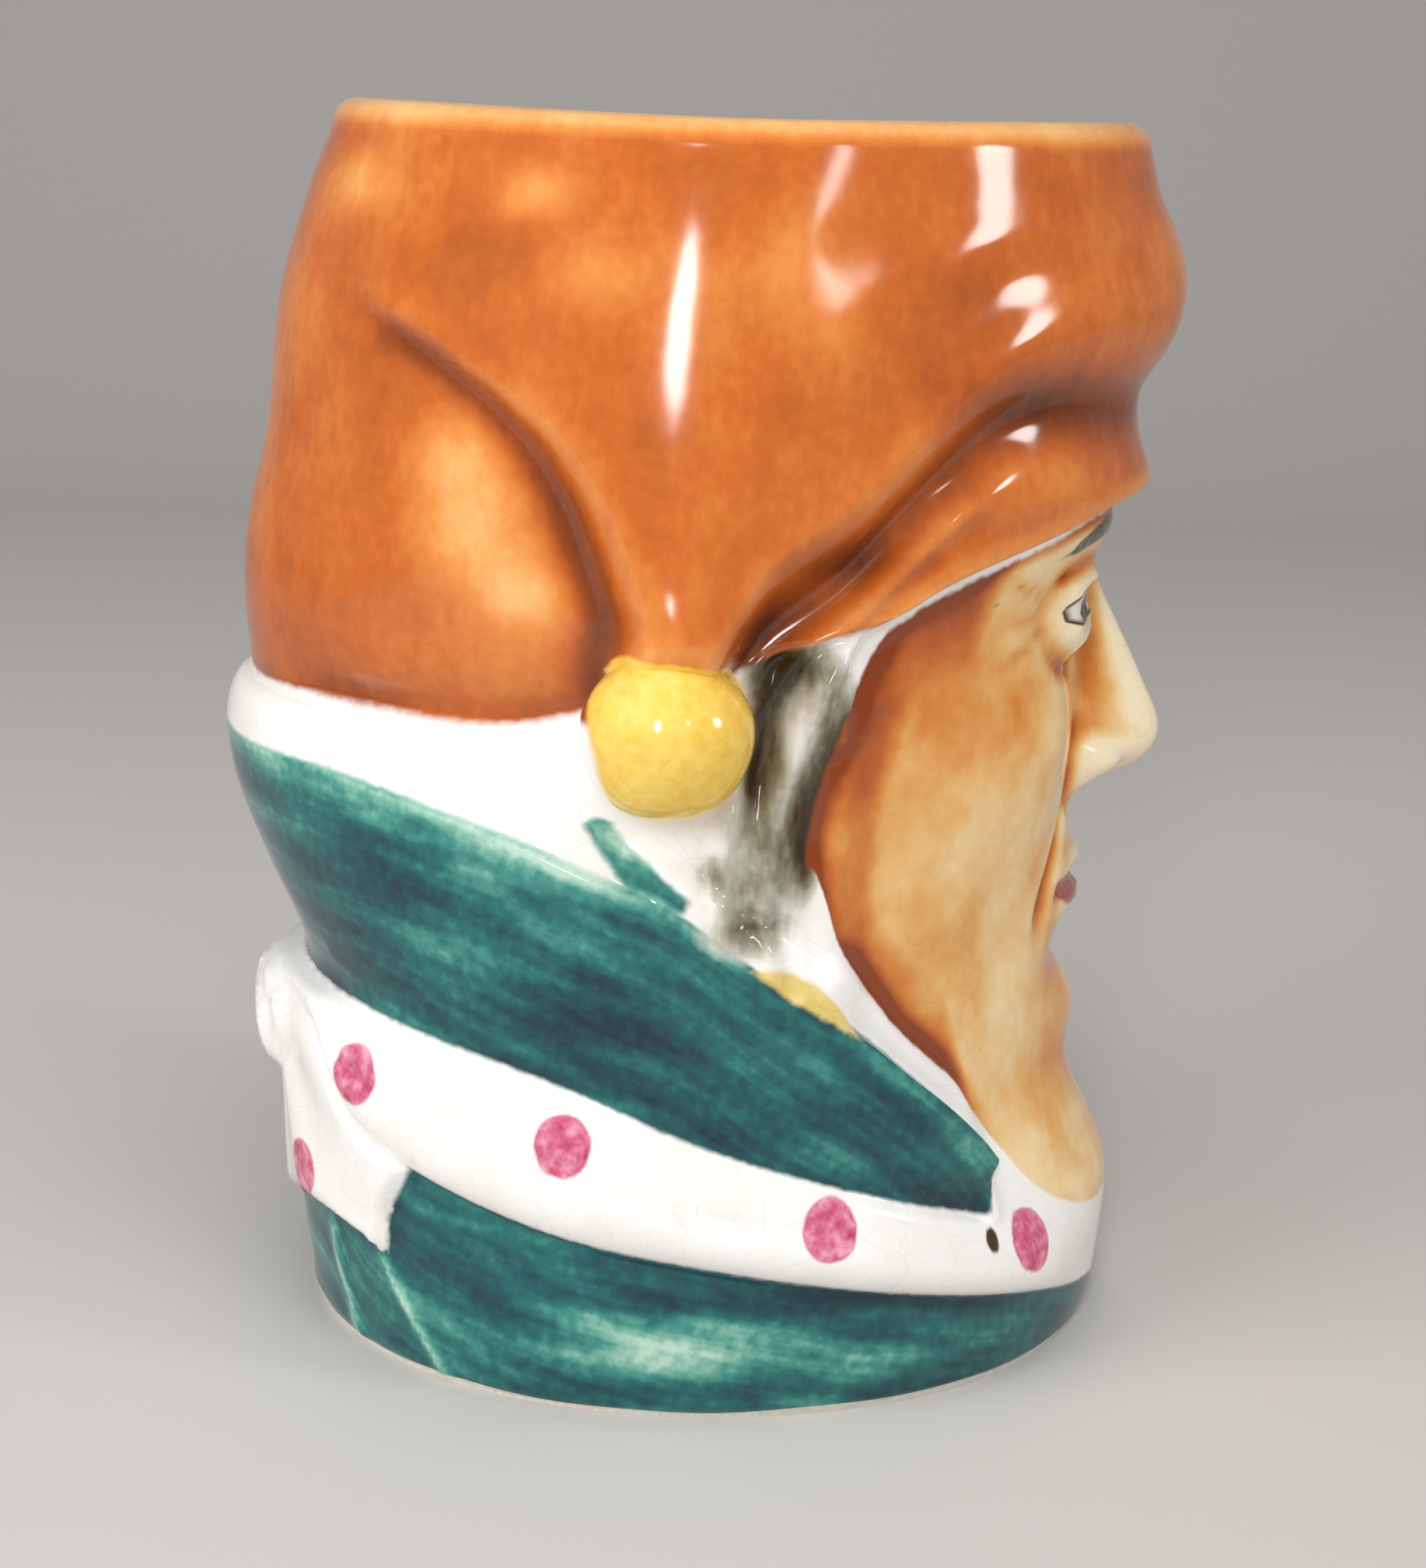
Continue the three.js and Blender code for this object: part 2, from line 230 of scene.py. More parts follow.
def above(seam, angle, height):
    """Millimetres above a seam, a line that is the same on both sides of the head."""
    return height - through(seam, np.abs(angle))


def step(t):
    """0 below 0, 1 above 1, and a smooth cubic between."""
    t = np.clip(t, 0, 1)
    return t * t * (3 - 2 * t)


def band(value, low, rise, high, fall):
    """1 between low and high, rising from 0 over the first width and falling over the second."""
    return step((value - low) / rise) * step((high - value) / fall)


def hill(offset, width):
    """A bell curve, 1 in the middle."""
    return np.exp(-((offset / width) ** 2))


def dome(across, up):
    """Half a ball's height over a circle of radius 1, for an ellipse's two scaled distances."""
    return np.sqrt(np.clip(1 - across ** 2 - up ** 2, 0, 1))


def mix(a, b, share):
    """a where share is 0 and b where it is 1."""
    return a + (b - a) * share


def oval(angle, front, back, side):
    """Radius of a section made of half an ellipse in front and half another behind."""
    c, s = np.cos(np.radians(angle)), np.sin(np.radians(angle))
    return 1 / np.hypot(c / np.where(c > 0, front, back), s / side)


# The glaze is clear, over bare white clay or over brushed colour. Under it the colours are paler on what
# stands proud and darker in the hollows, partly where the glaze runs thinner and pools and partly as
# painted highlight and shade; it shines like glass and has crazed all over. Each of AREAS becomes an
# attribute of the mesh; most are in millimetres inside the edge of a painted area.
glaze = new_material("glazed_earthenware", 0.11)
tree = glaze.node_tree
PER_MM = 1 / MM  # a pattern's scale for features a millimetre apart
place = node(tree, "TexCoord", {}, "Object")
AREAS = {}


def area(name):
    """An attribute of the mesh, as a socket."""
    return node(tree, "Attribute", {"attribute_name": name}, "Fac")


def noise(at, scale, detail, roughness=0.5):
    """Smooth noise about 0.5."""
    return node(tree, "TexNoise", {
        "Vector": at, "Scale": scale, "Detail": detail, "Roughness": roughness,
    })


def sum_of(*terms):
    """Adds up weighted sockets, from a number and then pairs of a socket and its weight."""
    total = terms[0]
    for socket, weight in zip(terms[1::2], terms[2::2]):
        total = node(tree, "Math", {"operation": "MULTIPLY_ADD", 0: socket, 1: weight, 2: total})
    return total


def brush_edge(inside, ragged, soft):
    """How far paint covers, 0 to 1, over the soft width, with an edge that strays as a brush does."""
    strayed = sum_of(-ragged / 2, inside, 1.0, grain, ragged)
    return node(tree, "MapRange", {
        "interpolation_type": "SMOOTHSTEP", "Value": strayed, "From Min": -soft / 2, "From Max": soft / 2,
    })


def shades(tone, *stops):
    """A colour for each tone, from (tone, colour) stops."""
    return node(tree, "ValToRGB", {"Fac": tone, "stops": stops})


def ramp(value, start, end, low=0.0, high=1.0):
    """A straight ramp from low, where the value is at the start, to high at the end."""
    return node(tree, "MapRange", {
        "Value": value, "From Min": start, "From Max": end, "To Min": low, "To Max": high,
    })


def product(a, b):
    """Two sockets multiplied."""
    return node(tree, "Math", {"operation": "MULTIPLY", 0: a, 1: b})


def painted(below, over, cover):
    """One colour brushed over another."""
    return node(tree, "Mix", {"data_type": "RGBA", "Factor": cover, "A": below, "B": over})


cloud = noise(place, PER_MM / 11, 3, 0.55)
grain = noise(place, PER_MM / 0.9, 2)
relief = area("relief")  # millimetres proud of the surface around
thin = area("thin")  # how much paler than usual the colour is, from thinner paint and from painted light; negative is darker
colour = shades(cloud, (0.3, "#F4F0E8"), (0.6, "#FDFBF7"))

# ---- The face ------------------------------------------------
# A calm old man's face of ordinary proportions: brow to nose, nose to chin and the ear line a third each,
# the eyes an eye's width apart. Brushed with honey ochre: cream on what stands proud, burnt orange in the
# folds and towards the skin's edge, partly as thinner and pooled colour and partly as painted highlight
# and shade. The eyes, brows and lips are painted by hand.
BROW = 60.3
EYE = 55.4
MOUTH = 33.4
CHIN = 22.8
EYE_ASIDE = 9.4
SKIN_FRONT = [
    (8, 32.2), (11, 32.1), (13, 31.5), (16, 29.9), (18.5, 28.2), (21, 26.9), (25, 26.8), (40, 26.8),
    (52, 27.2), (60, 28.3), (64, 28.6),
]
SKIN_SIDE = [(8, 27.2), (13, 26.9), (18, 25.8), (24, 25.3), (40, 25.8), (60, 26.2)]
NOSE_BRIDGE = [
    (39.4, 0), (40.4, 2.2), (41.4, 5.2), (43, 7.2), (45, 7.6), (48, 6.2), (52.5, 3.9), (56.5, 1.7),
    (60, 0.6),
]
NOSE_WIDTH = [(40, 2.8), (43, 3.5), (46, 3.3), (50, 2.6), (54, 2.5), (59, 3.6)]
SMILE_FOLD = [(30, 11), (34, 10.4), (38, 8.6), (41, 7), (44, 6.4)]
SKIN_LOW = [
    (0, 9.8), (20, 10.3), (30, 11.9), (37, 14.3), (43.5, 18.6), (50, 22.6), (56, 25), (62, 27.4),
    (67, 30), (70.5, 32), (74.5, 34.8), (77, 38.1), (79, 40),
]


def lid_opening(x, height):
    """Millimetres inside the almond between the lids."""
    along = (x - EYE_ASIDE) / 4.7
    bow = np.clip(1 - along ** 2, 0, 1)
    level = EYE - 0.3 * along
    ends = (1 - np.abs(along)) * 4
    return np.minimum(np.minimum(level + 1.8 * bow ** 0.8 - height, height - level + 1.25 * bow), ends)


def face_relief(across, height):
    """The features, as millimetres proud of the plain oval, at a distance across and a height."""
    x = np.abs(across)
    beside_eye, above_eye = x - EYE_ASIDE, height - EYE
    nose = through(NOSE_BRIDGE, height) * hill(across, through(NOSE_WIDTH, height))
    wing = 2.3 * hill(x - 4.4, 1.7) * hill(height - 42.6, 1.9)
    wing_crease = -0.5 * hill(np.hypot(x - 3.9, (height - 42.8) * 0.9) - 3.1, 0.6) * step((x - 4.4) / 1.5)
    nostril = -1.2 * hill(x - 2.6, 1.1) * hill(height - 40.7, 0.9)
    brow = 1.6 * hill(x - 9, 8.5) * hill(height - BROW - 0.4, 2.4)
    socket = -2.6 * hill(x - 8.6, 6.4) * hill(above_eye - 0.4, 4.2)
    ball = 2.7 * step(1.45 * (1 - np.hypot(beside_eye / 6.4, above_eye / 5.0)))
    lids = 0.55 * step(0.7 - lid_opening(x, height) / 0.45) * hill(beside_eye, 5.6) * hill(above_eye, 3.2)
    above_fold = above_eye - 3.2 + (beside_eye / 4.6) ** 2
    lid_fold = -0.5 * hill(above_fold, 0.55) * step((5.8 - np.abs(beside_eye)) / 2)
    crow = -0.22 * band(x, 14.6, 1.5, 20.5, 3) * sum(
        hill(above_eye - slope * (x - 12.5), 0.45) for slope in (-0.42, 0.02, 0.44)
    )
    pouch = -0.3 * hill(above_eye + 4.6 - (beside_eye / 4.8) ** 2, 0.8) * step((6 - np.abs(beside_eye)) / 3)
    cheek = 1.6 * hill(x - 14.5, 6.5) * hill(height - 46.2, 6)
    cheek = cheek - 0.9 * hill(x - 16.5, 5) * hill(height - 31.5, 6)
    fold = -0.75 * hill(x - through(SMILE_FOLD, height), 1) * band(height, 29.5, 4, 44.5, 3)
    groove = -0.45 * hill(across, 1.2) * band(height, 36.5, 1, 40.4, 1)
    muzzle = 1.3 * hill(across, 8.5) * hill(height - 35, 5.5)
    lips = 1.0 * hill(across, 5.6) * hill(height - MOUTH - 1.3, 1.2)
    lips = lips + 1.4 * hill(across, 5.2) * hill(height - MOUTH + 1.6, 1.4)
    mouth_line = -0.8 * hill(height - MOUTH - 0.25 * hill(x - 3, 2), 0.45) * step((9 - x) / 2)
    chin = 2.4 * hill(across, 6.8) * hill(height - CHIN, 3.7)
    chin = chin - 0.8 * hill(across, 6.5) * hill(height - 28, 1.6)
    return (
        nose + wing + wing_crease + nostril + brow + socket + ball + lids + lid_fold + crow + pouch + cheek
        + fold + groove + muzzle + lips + mouth_line + chin
    )


def plain_head(angle, height):
    """The smooth oval under the features."""
    return oval(angle, through(SKIN_FRONT, height), 33, through(SKIN_SIDE, height))


def face_across(angle, height):
    """Millimetres across the face from its middle line."""
    return plain_head(angle, height) * np.sin(np.radians(angle))


def skin_radius(angle, height):
    """The smooth oval with the features on it, which fade out towards the temples."""
    fade = np.clip(np.cos(np.radians(angle)), 0, 1) ** 0.6
    return plain_head(angle, height) + face_relief(face_across(angle, height), height) * fade


def on_face(shape):
    """An area of the face from a shape in millimetres across and up; nowhere behind the ears."""
    return lambda angle, height: np.where(
        np.abs(angle) < 80, shape(np.abs(face_across(angle, height)), height), -9.0
    )


def brow_shape(x, height):
    """Inside an arched stroke over the eye, tapered to its outer end."""
    along = (x - 9.6) / 5.6
    middle = BROW + 0.9 * (1 - along ** 2) - 0.6 * along
    thick = mix(1.15, 0.5, np.clip(along / 2 + 0.5, 0, 1)) * step((1 - np.abs(along)) * 4)
    return thick - np.abs(height - middle)


def lip_shape(x, height):
    """Inside the lips: a shallow bow above and a fuller curve below, meeting at the corners."""
    along = np.clip(x / 7.8, 0, 1)
    under_bow = MOUTH + 1.5 * (1 - along ** 1.5) - 0.4 * hill(x, 1.2) - height
    over_curve = height - MOUTH + 2.5 * (1 - along ** 2) ** 0.8
    return np.minimum(np.minimum(under_bow, over_curve), (7.8 - x) / 2)


AREAS["eye"] = on_face(lid_opening)
AREAS["iris"] = on_face(lambda x, height: 1.9 - np.hypot(x - EYE_ASIDE, height - EYE - 0.25))
AREAS["brow"] = on_face(brow_shape)
AREAS["lips"] = on_face(lip_shape)
AREAS["blush"] = on_face(lambda x, height: 1 - np.hypot((x - 14) / 6.5, (height - 45) / 5.5))

flush = ramp(area("blush"), -0.6, 1)
# The skin deepens to burnt orange towards its edge by the hair and above the shirt, partly as painted shade
# in the recesses there; relief in the tone pales what stands proud and darkens the hollows, partly as
# painted highlight and shade.
skin_edge = ramp(area("cheek_edge"), -0.5, 6.2, -0.78, 0)
skin_tone = sum_of(0.05, relief, 0.95, cloud, 1.1, grain, 0.12, skin_edge, 1.0, flush, -0.12)
skin_colour = shades(
    skin_tone, (0, "#8E3E10"), (0.22, "#C2601A"), (0.42, "#DC8A38"), (0.62, "#EDB66C"),
    (0.8, "#F7D8A0"), (1, "#FCEAC6"),
)
lash_line = ramp(area("eye"), 0.15, 0.5)
eye_white = painted("#5A3418", "#EFE9DC", lash_line)
iris_colour = painted("#5E3A1C", "#14100D", brush_edge(sum_of(-0.95, area("iris"), 1.0), 0.0, 0.3))
eye_colour = painted(eye_white, iris_colour, brush_edge(area("iris"), 0.0, 0.25))
brow_colour = shades(grain, (0.42, "#2B2A1A"), (0.7, "#7A7757"))
skin_colour = painted(skin_colour, "#A8433A", brush_edge(area("lips"), 0.3, 0.6))
skin_colour = painted(skin_colour, eye_colour, brush_edge(area("eye"), 0.0, 0.15))
skin_colour = painted(skin_colour, brow_colour, brush_edge(area("brow"), 0.5, 0.35))

# ---- The coat ------------------------------------------------
# The shoulders of a heavy coat, cut off flat below as the jug's foot, and its collar, turned up round the
# jaw and leaning away from the nape. Both are laid in with a broad brush of green, whose streaks run with
# the cloth.
COAT_FRONT = [(0, 31.2), (2.5, 31.7), (8, 31.7)]
COAT_BACK = [(0, 29.3), (3, 29.5), (5.5, 30), (9, 30.3), (20, 30.6)]
COAT_SIDE = [(0, 26.6), (4, 27.3), (12, 27.6), (18, 27.4)]
# Each fold runs from a (height, angle) at the foot to one at the tail's hem.
COAT_FOLDS = [((1.6, 152.4), (8.8, 156)), ((0.9, 133), (8.4, 143))]
COLLAR_TOP = [
    (36, 13.6), (46, 17.4), (50.5, 19.8), (56.5, 22.6), (63, 25.2), (70, 28), (82, 31.6), (94, 35.9),
    (100, 37.8), (106, 38.8), (121, 41.6), (131, 42.9), (141, 44), (150, 44.5), (165, 44.6), (180, 44.8),
]
COLLAR_LEAN = [(0, 0), (0.12, 0.35), (0.45, 3.1), (0.75, 5.2), (0.92, 5.8), (1, 5.9)]
COLLAR_POINT = [(12, 47.4), (15, 46.8), (18.4, 45)]  # (height, angle) of the edge of the collar's point
SCARF_LOW = [
    (0, 1.9), (20, 3.8), (41, 6.4), (69, 9.4), (92, 11.5), (115, 13.3), (138, 16), (147, 17.5),
    (151.5, 19.5), (154.5, 22), (158, 24.4), (165, 25.5), (180, 25.8),
]
SCARF_TOP = [
    (0, 9.4), (20, 9.9), (30, 11), (38, 12), (47, 12.8), (69, 16.1), (93, 19.9), (116, 23.9), (142, 25.8),
    (180, 26.8),
]


def coat_folds(angle, height):
    """A ridge along each fold at the nape, 1 on its crest and fading at its ends."""
    turn = np.abs(angle)
    ridge = 0
    for (low, low_angle), (high, high_angle) in COAT_FOLDS:
        along = (height - low) / (high - low)
        off = (turn - mix(low_angle, high_angle, along)) * ARC
        ridge = ridge + hill(off, 0.8) * band(along, -0.3, 0.3, 1.25, 0.3)
    return ridge


def coat_radius(angle, height):
    """An oval that swells above the foot, with two low folds at the nape."""
    plain = oval(angle, through(COAT_FRONT, height), through(COAT_BACK, height), through(COAT_SIDE, height))
    return plain + 0.25 * coat_folds(angle, height)


def collar_radius(angle, height):
    """A band that leans out as it rises, most at the nape."""
    turn = np.abs(angle)
    low, top = through(SCARF_TOP, turn), through(COLLAR_TOP, turn)
    lean = through(COLLAR_LEAN, np.clip((height - low) / (top - low), 0, 1))
    return oval(angle, 30.2 + 0.24 * lean, 29.9 + lean, 26.9 + 0.2 * lean)


def behind_point(angle, height):
    """Millimetres behind the front edge of the collar's point."""
    return (np.abs(angle) - through(COLLAR_POINT, height)) * ARC


def collar_cloth(angle, height):
    """How far the collar's cloth has risen, 0 to 1, from its edges."""
    below_top = -above(COLLAR_TOP, angle, height)
    return step((below_top + 0.1) / 0.6) * step((behind_point(angle, height) + 0.5) / 1.6)


def green_slip(angle, height):
    """A stroke that strayed up from the collar beside the bobble."""
    along = np.clip((height - 38) / 4.6, 0, 1)
    off = np.hypot((angle + mix(100.5, 109.5, along)) * ARC * 0.5, height - mix(38, 42.6, along))
    return mix(1.1, 0.5, along) - off


def green_area(angle, height):
    """Inside the collar or the coat."""
    collar = np.minimum(-above(COLLAR_TOP, angle, height), behind_point(angle, height))
    collar = np.maximum(collar, green_slip(angle, height))
    collar = np.minimum(collar, above(SCARF_TOP, angle, height) - 0.3)
    coat = np.minimum(0.15 - above(SCARF_LOW, angle, height), -neckerchief_ends(angle, height))
    return np.maximum(collar, coat)


def below_edge(angle, height):
    """Millimetres below the collar's upper edge, or below the coat's."""
    over_coat = above(SCARF_LOW, angle, height)
    return -np.where(over_coat > 0, above(COLLAR_TOP, angle, height), over_coat)


def edge_wash(angle, height):
    """How much thinner the green is where the brush set out, along the collar's upper edge."""
    below_top = -above(COLLAR_TOP, angle, height)
    return through(EDGE_WASH, np.abs(angle)) * (1 - step(below_top / 2.4)) * step(below_top / 0.5 + 1)


AREAS["green"] = green_area
AREAS["stroke_along"] = lambda angle, height: np.abs(angle) * ARC
AREAS["stroke_across"] = below_edge
STROKE_LENGTH = 12.0
STROKE_WIDTH = 2.1
SIDE_DRIFT = 60.0  # over how far across the jug one side's strokes turn into the other's
EDGE_WASH = [
    (44, 0), (58, 0.1), (70, 0.06), (84, 0.04), (91, 0.4), (112, 0.42), (128, 0.25), (142, 0.42),
    (180, 0.42),
]
# Paler and darker patches of the green; the dark band just under the scarf's lower edge, at (-86, 9), is
# painted shadow of the scarf.
GREEN_THINNESS_AND_SHADE = [  # (angle, height, half width, half height, amount)
    (-142, 42, 5, 1.4, 0.14), (-120, 39, 8, 1.6, 0.16), (-100, 34.5, 9, 2.2, 0.16),
    (-124, 34, 8, 1.5, 0.12), (-106, 41.5, 3, 2.5, 0.45), (-134, 26, 8, 1, 0.2),
    (-110, 22.6, 9, 0.9, 0.2), (-84, 19.5, 8, 0.9, 0.1), (-60, 18.5, 8, 1.2, 0.12),
    (-160, 30, 6, 3, -0.25), (-115, 29, 10, 2.5, -0.12), (-80, 22, 12, 2, -0.12),
    (-48, 15.5, 2.5, 1.8, -0.2), (-100, 5.5, 9, 2.6, 0.5), (-66, 4, 6, 1.6, 0.3), (-140, 6, 8, 4, 0.14),
    (-86, 9, 12, 1, -0.35), (-84, 2.5, 3, 1.6, -0.3), (-40, 3.5, 5, 2, 0.1), (20, 3, 8, 2, 0.25),
    (75, 5, 9, 2.4, 0.35), (120, 7, 8, 3, 0.3), (150, 43, 7, 1.5, 0.4), (112, 32, 9, 2, 0.2),
    (70, 21, 9, 2, 0.2), (165, 31, 8, 3, -0.25),
]
drift = sum_of(0.0, node(tree, "SeparateXYZ", {"Vector": place}, "X"), PER_MM / SIDE_DRIFT)
stroke_place = node(tree, "CombineXYZ", {
    "X": sum_of(0.0, area("stroke_along"), 1 / STROKE_LENGTH),
    "Y": sum_of(0.0, area("stroke_across"), 1 / STROKE_WIDTH),
    "Z": drift,
})
strokes = noise(stroke_place, 1, 2.2, 0.55)
# Relief pales the green on what stands proud and darkens it in hollows, partly as painted highlight and
# shade.
green_tone = sum_of(-0.76, strokes, 1.15, cloud, 0.5, grain, 0.45, relief, 0.25, thin, 1.0)
green_colour = shades(
    green_tone, (0, "#06303C"), (0.25, "#0A5156"), (0.45, "#1A6F6B"), (0.65, "#449688"),
    (0.85, "#8AC0AC"), (1, "#BCDCCA"),
)
colour = painted(colour, green_colour, brush_edge(area("green"), 0.35, 0.45))

# ---- The neckerchief -----------------------------------------
# A spotted cotton square rolled into a band, knotted at the nape with two short tails. Left white, with
# spots of crimson dabbed on with the tip of a round brush. One pinhole in the band opened in the firing.
TAIL_HEM = [(139, 8.8), (142.2, 8.9), (146, 9.6), (156, 10), (168, 9.2), (175, 8), (180, 7.6)]
TAIL_EDGE = [(7.5, 142.6), (9, 142.2), (12.3, 141.3), (16, 137.8), (20, 139), (26, 148)]  # (height, angle)
KNOT = (7.4, 4.5, 1.9)  # half its width, half its height and how far it stands out
KNOT_HEIGHT = 22.2
SPOT_RADIUS = 2.2
SPOTS = [
    (-161, 12.4), (-147, 21.9), (-113, 20.1), (-75, 14.5), (-40.5, 10.6), (0, 5.6), (40, 10.2),
    (77, 14.9), (114, 20), (150, 21.6), (164, 13),
]
PINHOLE = (-48.3, 11.6)


def neckerchief_ends(angle, height):
    """Millimetres inside a tail, beside a notch that widens downwards, or inside the knot."""
    turn = np.abs(angle)
    tail = np.minimum((turn - through(TAIL_EDGE, height)) * ARC, height - through(TAIL_HEM, turn))
    tail = np.minimum(tail, (180 - turn) * ARC - 0.13 * (17.5 - height) + 6 * step((height - 15.5) / 2))
    knot = 5 * (1 - np.hypot((180 - turn) * ARC / KNOT[0], (height - KNOT_HEIGHT) / KNOT[1]))
    return np.maximum(tail, knot)


def tail_relief(angle, height):
    """Flat tongues 1.2 mm thick with rolled edges, and creases that fan out of the knot."""
    aside = (180 - np.abs(angle)) * ARC
    inside = neckerchief_ends(angle, height)
    fan_angle = np.degrees(np.arctan2(aside, 27 - height))
    crease = 0.22 * np.cos(fan_angle / 5.2) * step((inside - 0.4) / 1.5)
    return (1.15 + crease) * np.sqrt(step(inside / 0.9))


def knot_relief(angle, height):
    """A rounded pillow at the nape, with a pinch across it."""
    across = (180 - np.abs(angle)) * ARC
    pillow = dome(across / KNOT[0], (height - KNOT_HEIGHT) / KNOT[1]) ** 0.8
    return KNOT[2] * pillow * (1 - 0.2 * hill(across - 5, 0.7)) * step((27 - height) / 1.5)


def scarf_radius(angle, height):
    """A roll that is fullest below its middle, with one long shallow crease in the cloth."""
    turn = np.abs(angle)
    low, top = through(SCARF_LOW, turn), through(SCARF_TOP, turn)
    up = np.clip((height - low) / (top - low), 0, 1)
    roll = 1.35 * np.sin(np.pi * up ** 0.62) * step((turn - 20) / 25)
    roll = mix(roll, 1.1, step((turn - 152) / 8))
    above_crease = height - mix(low, top, 0.52) - 0.3 * np.sin(turn / 9)
    crease = -0.22 * hill(above_crease, 0.7) * step((turn - 60) / 30)
    front = through([(1, 31.6), (6, 32), (9, 32.2), (12, 32)], height)
    return oval(angle, front, 30.7, 27.3) + roll + crease * step((155 - turn) / 6)


def wrapped(angle):
    """The same angle, between -180 and 180 degrees."""
    return (angle + 180) % 360 - 180


def spot_area(angle, height):
    """Millimetres inside the nearest spot."""
    away = [np.hypot(wrapped(angle - at) * ARC * 1.04, height - up) for at, up in SPOTS]
    return SPOT_RADIUS - np.min(away, axis=0)


def pinhole_area(angle, height):
    """Millimetres inside the pinhole."""
    return 0.58 - np.hypot((angle - PINHOLE[0]) * ARC, (height - PINHOLE[1]) * 0.66)


AREAS["spots"] = spot_area
AREAS["pinhole"] = pinhole_area
dab_tone = sum_of(-0.1, grain, 0.8, strokes, 0.4)
crimson = shades(dab_tone, (0.3, "#BE3A63"), (0.5, "#DB7190"), (0.7, "#F1ABBD"))
colour = painted(colour, crimson, brush_edge(area("spots"), 0.45, 0.3))
colour = painted(colour, "#4A3324", brush_edge(area("pinhole"), 0.15, 0.25))

# ---- The hair and the shirt ----------------------------------
# Side hair in combed locks before and under the bobble, a strip of shirt over the collar beside the jaw,
# and the collar's rolled upper edge at the nape. All left white, with fine strokes of olive black in the
# locks, darkest in the recesses beside the bobble and along the cheek's edge, partly as painted shade.
HAIR_FRONT = [(39.6, 79), (41.8, 79), (48.6, 75.5), (52.2, 72), (56.8, 66), (60, 62)]  # (height, angle)
HAIR_ARC = 0.47  # millimetres round the hair for a degree
SHIRT_WIDTH = 3.3
LIP_OF_COLLAR = [(90, 0), (110, 0.5), (140, 1.1), (165, 1.75), (180, 1.8)]
# The darkest patches, in the recess beside the bobble and along the cheek's edge, are partly painted shade.
HAIR_DARK = [  # (angle, height, half width, half height, amount)
    (86, 53, 1.7, 2.6, 1.1), (82, 54, 1.6, 1.6, 1), (86.6, 49, 1.2, 2.4, 1.1),
    (87.8, 46, 0.8, 1.8, 1), (86.2, 50, 0.3, 1.6, -0.35), (77.4, 51.2, 1.7, 2.9, 0.62),
    (73.4, 50, 1, 1.6, 0.6), (75.4, 47.8, 1.5, 1.9, 0.95), (77.6, 45.4, 1.6, 2, 0.95),
    (79.4, 42.8, 1.6, 2.2, 0.95), (80.4, 40, 1.3, 2, 0.6), (84, 45.6, 1.8, 2.4, 0.34),
    (89, 43.4, 2.4, 2.2, 0.3), (85, 41.6, 2.2, 1.8, 0.4), (87.6, 38.6, 3.2, 2.2, 0.5),
    (93.4, 39.8, 0.9, 1.2, 0.45), (87.6, 35.6, 2.9, 1.5, 0.55), (88.2, 36.2, 1.8, 0.4, 0.2),
]


def head_radius(angle, height):
    """Skin that runs back into the hair; below it the shirt, and at the nape the collar's lip."""
    turn = np.abs(angle)
    behind = (turn - through(HAIR_FRONT, height)) * HAIR_ARC
    hair = mix(skin_radius(angle, height), oval(angle, 29, 34.0, 26.9), step((turn - 68) / 9))
    wave = np.cos(behind * 2.1 + 0.35 * np.sin(height / 2.2))
    locks = 0.35 * wave * band(behind, 0, 1, 8.5, 3)
    lock = 0.9 * dome((turn - 77) / 4.2, (height - 51.2) / 3.9)
    beside_recess = (turn - through([(44, 88), (48, 87), (53, 85)], height)) * HAIR_ARC
    recess = -0.8 * hill(beside_recess, 1.3) * step((height - 43) / 3)
    above_ends = height - 36.7 - (turn - 88) * 0.1
    ends = 0.45 * step(above_ends / 0.8) * step((48 - height) / 6) * band(turn, 80, 2, 95, 2)
    parting = -0.65 * hill(behind - 0.4, 1.4) * band(height, 38, 4, 57, 3)
    over_collar = above(COLLAR_TOP, angle, height)
    under_skin = over_collar - above(SKIN_LOW, angle, height) + 0.5
    wide = mix(under_skin, SHIRT_WIDTH, step((turn - 70) / 8))
    shirt = 1.3 * np.sqrt(step((wide - over_collar) / 1.8)) * band(turn, 42, 9, 108, 12)
    lip = through(LIP_OF_COLLAR, turn) * dome(np.maximum(over_collar, 0) / 3.6, 0)
    return hair + locks + lock + recess + ends + parting + shirt + lip


def skin_area(angle, height):
    """Inside the skin: ahead of the hair, over the shirt and a little under the cap's edge."""
    ahead = (through(HAIR_FRONT, height) - np.abs(angle)) * ARC + 0.3
    below_cap = -1.5 - above(CAP_EDGE, angle, height)
    return np.minimum(np.minimum(ahead, above(SKIN_LOW, angle, height)), below_cap)


def patches(listed, angle, height):
    """A sum of soft patches, whose half sizes are in millimetres."""
    return sum(
        amount * hill(wrapped(angle - at) * ARC, wide) * hill(height - up, tall)
        for at, up, wide, tall, amount in listed
    )


AREAS["skin"] = skin_area
AREAS["cheek_edge"] = lambda angle, height: skin_area(angle, height) + 8 * step((54 - np.abs(angle)) / 14)
AREAS["hair_dark"] = lambda angle, height: patches(HAIR_DARK, np.abs(angle), height)


def yellow_slip(angle, height):
    """A smear of the bobble's yellow along the collar's upper edge, deepest in its middle."""
    over_collar = above(COLLAR_TOP, angle, height)
    return np.minimum(over_collar + 0.4, 1.6 * (1 - ((angle + 79.5) / 7.2) ** 2) - over_collar)


